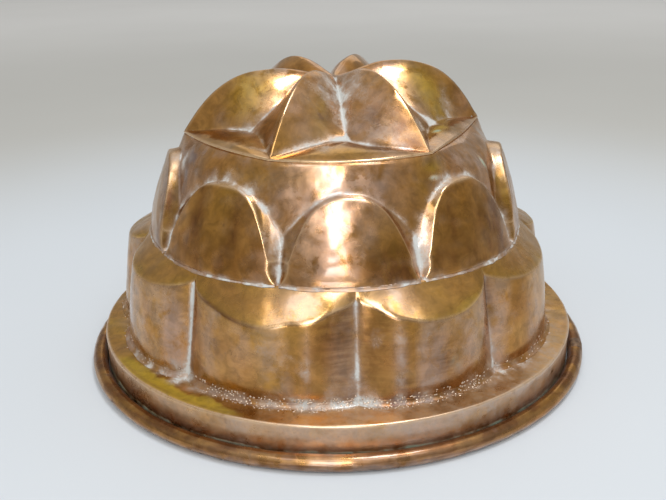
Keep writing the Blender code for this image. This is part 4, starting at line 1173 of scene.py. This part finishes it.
def makeCopperGroup(look):
    # from the metal out: its own tones, with rose partly a painted sheen, tarnish, wear that is partly
    # painted highlight, oxide, verdigris and the white of old polish
    inputs = dict.fromkeys(markNames, 0.0)
    inputs.update({"golden": 0.5, "polish": 0.28, "streaky": 0.5, "standing": 0.0})
    outputs = ("Color", "Roughness", "Metallic", "Height", "Bloom")
    tree, given, results = shaderGroup("agedCopper", inputs, outputs)
    spot = addNode("TexCoord", tree=tree).outputs["Object"]
    cloud = noisy(spot, look["cloudScale"], 4.0, 0.55)
    patchy = noisy(spot, look["cloudScale"] * 2.6, 3.0, 0.6, 0.4)
    grain = noisy(spot, look["grainScale"], 4.0, 0.6)
    crumb = noisy(spot, look["crumbScale"], 3.0, 0.65)
    lying = noisy(stretched(spot, (1, 1, 11)), 60.0, 4.0, 0.6)
    upright = noisy(stretched(spot, (1, 1, 0.08)), 210.0, 3.0, 0.6)
    streak = mixed(given["standing"], lying, upright)

    def marked(mark, noise, low, high, start, end, clamp=False):
        # a mark broken up by a noise
        return times(given[mark], ranged(noise, low, high, start, end), clamp)

    def layered(factor, name):
        return mixed(factor, shade, look[name])

    def toned(tone):
        return mixed(1.0, shade, tone, "MULTIPLY")

    shade = mixed(ranged(cloud, 0.35, 0.68), look["gold"], look["brown"])
    shade = layered(times(given["golden"], 0.8), "gold")
    # rose: the copper's pink, and where it lies on the lamps' highlights also a painted sheen that makes
    # them paler
    pink = marked("rose", patchy, 0.25, 0.6, 0.0, 1.0, True)
    shade = layered(pink, "rose")
    shade = layered(marked("olive", cloud, 0.2, 0.62, 0.45, 1.0, True), "olive")
    yellow = ranged(marked("olive", patchy, 0.2, 0.6, 0.8, 1.1), 0.8, 1.9)
    shade = layered(yellow, "yellow")
    dark = marked("stain", streak, 0.3, 0.65, 0.4, 0.9, True)
    shade = layered(dark, "stain")
    shade = toned(mixed(given["streaky"], colour(1, 1, 1), ranged(streak, 0.3, 0.7, 0.84, 1.14)))
    shade = toned(ranged(noisy(spot, 150.0, 5.0, 0.65, 0.6), 0.3, 0.7, 0.76, 1.18))
    shade = toned(ranged(grain, 0.62, 0.75, 1.0, 0.75))
    # the pale worn colour: rubbed wear, and also painted highlights along edges and on lit faces
    shade = layered(marked("wearAndHighlight", grain, 0.3, 0.5, 0.5, 1.0, True), "wornAndHighlight")
    rusty = ranged(marked("oxide", patchy, 0.2, 0.8, 0.4, 1.5), 0.12, 0.9)
    shade = layered(times(rusty, 0.92), "oxide")
    green = ranged(marked("verdigris", patchy, 0.25, 0.75, 0.3, 1.4), 0.15, 0.9)
    shade = layered(green, "verdigris")
    pale = marked("residue", noisy(spot, 190.0, 4.0, 0.6, 0.5), 0.25, 0.75, 0.6, 1.3)
    pale = times(pale, ranged(crumb, 0.3, 0.7, 0.8, 1.15))
    veil = ranged(pale, 0.05, 0.6, 0.0, 0.62)
    thick = ranged(pale, 0.4, 1.05, 0.0, 0.9)
    shade = layered(veil, "veil")
    shade = layered(thick, "residue")
    chalk = maths("MAXIMUM", thick, green)
    rough = plus(given["polish"], ranged(cloud, 0.3, 0.7, -0.04, 0.08))
    for change in (times(dark, 0.06), times(pink, 0.12), ranged(patchy, 0.3, 0.7, -0.03, 0.05)):
        rough = plus(rough, change)
    for factor, level in ((maths("MAXIMUM", veil, yellow), 0.5), (rusty, 0.5), (chalk, 0.8)):
        rough = mixed(factor, rough, colour(level, level, level))
    metal = 1.0
    for cover, share in ((rusty, 0.45), (chalk, 1.0), (veil, 0.5), (yellow, 0.45)):
        metal = times(metal, maths("SUBTRACT", 1.0, times(cover, share)))
    lift = plus(times(grain, 0.25), times(streak, times(given["streaky"], 0.3)))
    lift = plus(lift, times(times(chalk, crumb), 1.2))
    bloom = times(pink, 0.9)
    join(results, dict(zip(outputs, (shade, rough, metal, lift, bloom))))
    return tree


def makeDullGroup():
    # wiped tin and solder: soft clouds, scratches and darker spots
    inputs = {"Pale": colour(0.6, 0.6, 0.6), "Dark": colour(0.3, 0.3, 0.3), "size": 60.0, "polish": 0.45}
    outputs = ("Color", "Roughness", "Height")
    tree, given, results = shaderGroup("dullMetal", inputs, outputs)
    spot = addNode("TexCoord", tree=tree).outputs["Object"]
    cloud = noisy(spot, given["size"], 4.0, 0.6, 0.3)
    grain = noisy(spot, times(given["size"], 9.0), 4.0, 0.6)
    wipe = noisy(stretched(spot, (1, 1, 9)), times(given["size"], 2.0), 3.0)
    shade = mixed(ranged(cloud, 0.4, 0.75), given["Pale"], given["Dark"])
    shade = mixed(1.0, shade, ranged(wipe, 0.3, 0.7, 0.86, 1.1), "MULTIPLY")
    shade = mixed(ranged(grain, 0.62, 0.78, 0.0, 0.7), shade, given["Dark"])
    rough = plus(given["polish"], ranged(cloud, 0.3, 0.7, -0.08, 0.12))
    lift = plus(times(grain, 0.5), times(wipe, 0.3))
    join(results, dict(zip(outputs, (shade, rough, lift))))
    return tree


copperGroup = makeCopperGroup(copperLook)
dullGroup = makeDullGroup()


def newMaterial(name):
    # a material, its tree and the sockets of its shader
    material = bpy.data.materials.new(name)
    material.use_nodes = True
    return material, material.node_tree, material.node_tree.nodes["Principled BSDF"].inputs


def metalMaterial(name, group, inputs, bumpy):
    # a material with its colour, roughness and bumps led from a node group
    material, tree, shader = newMaterial(name)
    metal = addNode("Group", tree=tree, node_tree=group)
    join(metal.inputs, inputs)
    bump = addNode("Bump", {"Height": metal.outputs["Height"], "Strength": 1.0, "Distance": bumpy})
    look = {"Base Color": metal.outputs["Color"], "Roughness": metal.outputs["Roughness"]}
    join(shader, look | {"Normal": bump.outputs[0]})
    return material, tree, shader, metal


def copperMaterial(name, golden, polish, streaky, standing):
    # the copper group with the marks of the sheet, and a clear bloom where it is rose
    inputs = {"golden": golden, "polish": polish, "streaky": streaky, "standing": standing}
    material, tree, shader, metal = metalMaterial(name, copperGroup, inputs, copperLook["bump"])
    for mark in markNames:
        read = addNode("Attribute", tree=tree, attribute_name=mark)
        join(metal.inputs, {mark: read.outputs["Fac"]})
    coat = {"Coat Weight": metal.outputs["Bloom"], "Coat Roughness": 0.13, "Coat IOR": 2.0}
    join(shader, coat | {"Metallic": metal.outputs["Metallic"]})
    return material


def dullMaterial(name, pale, dark, size, polish, metallic=1.0, bumpy=0.0001):
    inputs = {"Pale": colour(*pale), "Dark": colour(*dark), "size": size, "polish": polish}
    material, _, shader, _ = metalMaterial(name, dullGroup, inputs, bumpy)
    shader["Metallic"].default_value = metallic
    return material


def dress(piece, material):
    piece.data.materials.clear()
    piece.data.materials.append(material)


# pieces, each with its node, slot and finish

tinFinish = dullMaterial("wipedTin", (0.62, 0.61, 0.58), (0.36, 0.34, 0.31), 48.0, 0.42)
solderFinish = dullMaterial("dullSolder", (0.56, 0.55, 0.53), (0.26, 0.19, 0.16), 300.0, 0.6, 0.55, 0.0002)
speckFinish = dullMaterial("brightSolder", (0.72, 0.60, 0.50), (0.42, 0.28, 0.18), 500.0, 0.35, 0.8)
jointFinish = dullMaterial("burntSolder", (0.24, 0.15, 0.09), (0.07, 0.045, 0.035), 420.0, 0.5, 0.7, 0.0003)
ironFinish = dullMaterial("ironWire", (0.20, 0.18, 0.165), (0.13, 0.07, 0.045), 200.0, 0.5)


def addPiece(piece, node, material):
    # a piece on the only body, in the place of a node's mesh where it has a node
    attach(piece, "root")
    if node:
        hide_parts(node)
    dress(piece, material)


crownSheet, crownTin = makeCrown()
addPiece(crownSheet, "crown_cap", copperMaterial("crownCopper", 0.42, 0.12, 0.35, 1.0))
addPiece(crownTin, "crown_lining", tinFinish)
addPiece(makeCrownSolder(), "crown_seam", solderFinish)
addPiece(makeCrownLine(), None, copperMaterial("crownJoint", 0.4, 0.25, 0.2, 1.0))
print("crown done")

archSheet, archTin = makeArches()
addPiece(archSheet, "arch_drum", copperMaterial("archCopper", 0.1, 0.15, 0.5, 1.0))
addPiece(archTin, "arch_lining", tinFinish)
addPiece(makeArchSolder(), "arch_seam", copperMaterial("archJoint", 0.2, 0.35, 0.2, 0.0))
print("arches done")

lobeSheet, lobeTin = makeLobes()
addPiece(lobeSheet, "lobed_drum", copperMaterial("lobeCopper", 0.15, 0.19, 0.5, 0.2))
addPiece(lobeTin, "lobe_lining", tinFinish)
addPiece(makeLobeSolder(), "lobe_seam", copperMaterial("lobeJoint", 0.15, 0.26, 0.5, 0.2))
addPiece(makeFootSpecks(), None, speckFinish)
print("lobes done")

collarSheet, collarTin = makeCollar()
addPiece(collarSheet, "base_collar", copperMaterial("collarCopper", 0.9, 0.24, 0.3, 0.0))
addPiece(collarTin, "collar_lining", tinFinish)
addPiece(makeRim(), "rim_bead", copperMaterial("rimCopper", 0.55, 0.2, 0.25, 0.0))
addPiece(makeRimJoint(), "rim_joint", jointFinish)
dress(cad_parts["rim_wire"], ironFinish)
print("collar and rim done")


# floor, room and lamps

stageLook = {
    "half": 9.0,
    # the floor's colours paint a pool of light near the mould, shade further out and light again far off
    "floor": colour(0.62, 0.67, 0.725),
    "floorFarShade": colour(0.525, 0.53, 0.515),
    "floorEdgeLight": colour(0.76, 0.77, 0.775),
    "horizon": colour(0.50, 0.495, 0.48),
    "low": colour(0.42, 0.395, 0.35),
    "middle": colour(0.50, 0.485, 0.455),
    "zenith": colour(0.66, 0.655, 0.645),
}


def makeFloor(look):
    half = look["half"]
    mesh = bpy.data.meshes.new("floor")
    corners = [(-half, -half, 0), (half, -half, 0), (half, half, 0), (-half, half, 0)]
    mesh.from_pydata(corners, [], [(0, 1, 2, 3)])
    floor = addObject("floor", mesh)
    material, tree, shader = newMaterial("paleFloor")
    spot = addNode("TexCoord", tree=tree).outputs["Object"]
    cloud = noisy(spot, 3.0, 2.0)
    # painted light and shade: paler near the mould and greyer further away, as under a soft studio light,
    # and paler again far off, where the lamps' light falls away
    away = addNode("VectorMath", {0: spot}, operation="LENGTH").outputs["Value"]
    shade = mixed(ranged(away, 0.22, 0.62), look["floor"], look["floorFarShade"])
    shade = mixed(ranged(away, 0.75, 1.9), shade, look["floorEdgeLight"])
    shade = mixed(1.0, shade, ranged(cloud, 0.3, 0.7, 0.985, 1.015), "MULTIPLY")
    join(shader, {"Base Color": shade, "Roughness": 0.9})
    mesh.materials.append(material)


def makeRoom(look):
    # a room seen only in reflections, toned by height
    world = bpy.data.worlds.new("room")
    world.use_nodes = True
    bpy.context.scene.world = world
    tree = world.node_tree
    direction = addNode("TexCoord", tree=tree).outputs["Generated"]
    rise = addNode("SeparateXYZ", {0: direction}).outputs["Z"]
    shade = mixed(ranged(rise, 0.04, 0.16), look["horizon"], look["low"])
    shade = mixed(ranged(rise, 0.22, 0.6), shade, look["middle"])
    shade = mixed(ranged(rise, 0.55, 1.0), shade, look["zenith"])
    join(tree.nodes["Background"].inputs, {"Color": shade, "Strength": 1.0})


plainLight, warmLight = (1.0, 1.0, 1.0), (1.0, 0.99, 0.97)
lampTable = {
    "windowLow": {"at": (-0.10, -1.6, 0.21), "wide": 0.52, "tall": 0.26, "power": 2.5, "tint": plainLight},
    "windowHigh": {"at": (-0.10, -1.6, 1.045), "wide": 0.52, "tall": 0.81, "power": 8.6, "tint": plainLight},
    "ceiling": {"at": (0.07, -0.80, 1.36), "wide": 1.4, "tall": 0.42, "power": 4.8, "tint": warmLight},
    "skylight": {"at": (0.25, -0.12, 1.3), "wide": 0.42, "tall": 0.32, "power": 5.2, "tint": plainLight},
    "behind": {"at": (0.3, 2.0, 1.5), "wide": 2.0, "tall": 1.0, "power": 3.4, "tint": warmLight},
}


def makeLamps(table):
    for name, values in table.items():
        lamp = bpy.data.lights.new(name, "AREA")
        lamp.shape = "RECTANGLE"
        lamp.size, lamp.size_y = values["wide"], values["tall"]
        lamp.energy, lamp.color = values["power"], values["tint"]
        holder = addObject(name, lamp)
        at = Vector(values["at"])
        facing = (at - Vector((0, 0, 0.06))).to_track_quat("Z", "Y")  # towards the middle of the mould
        holder.matrix_world = Matrix.Translation(at) @ facing.to_matrix().to_4x4()
        holder.visible_camera = False


makeFloor(stageLook)
makeRoom(stageLook)
makeLamps(lampTable)
bpy.context.scene.view_settings.view_transform = "Standard"
print("floor, room and lamps done")
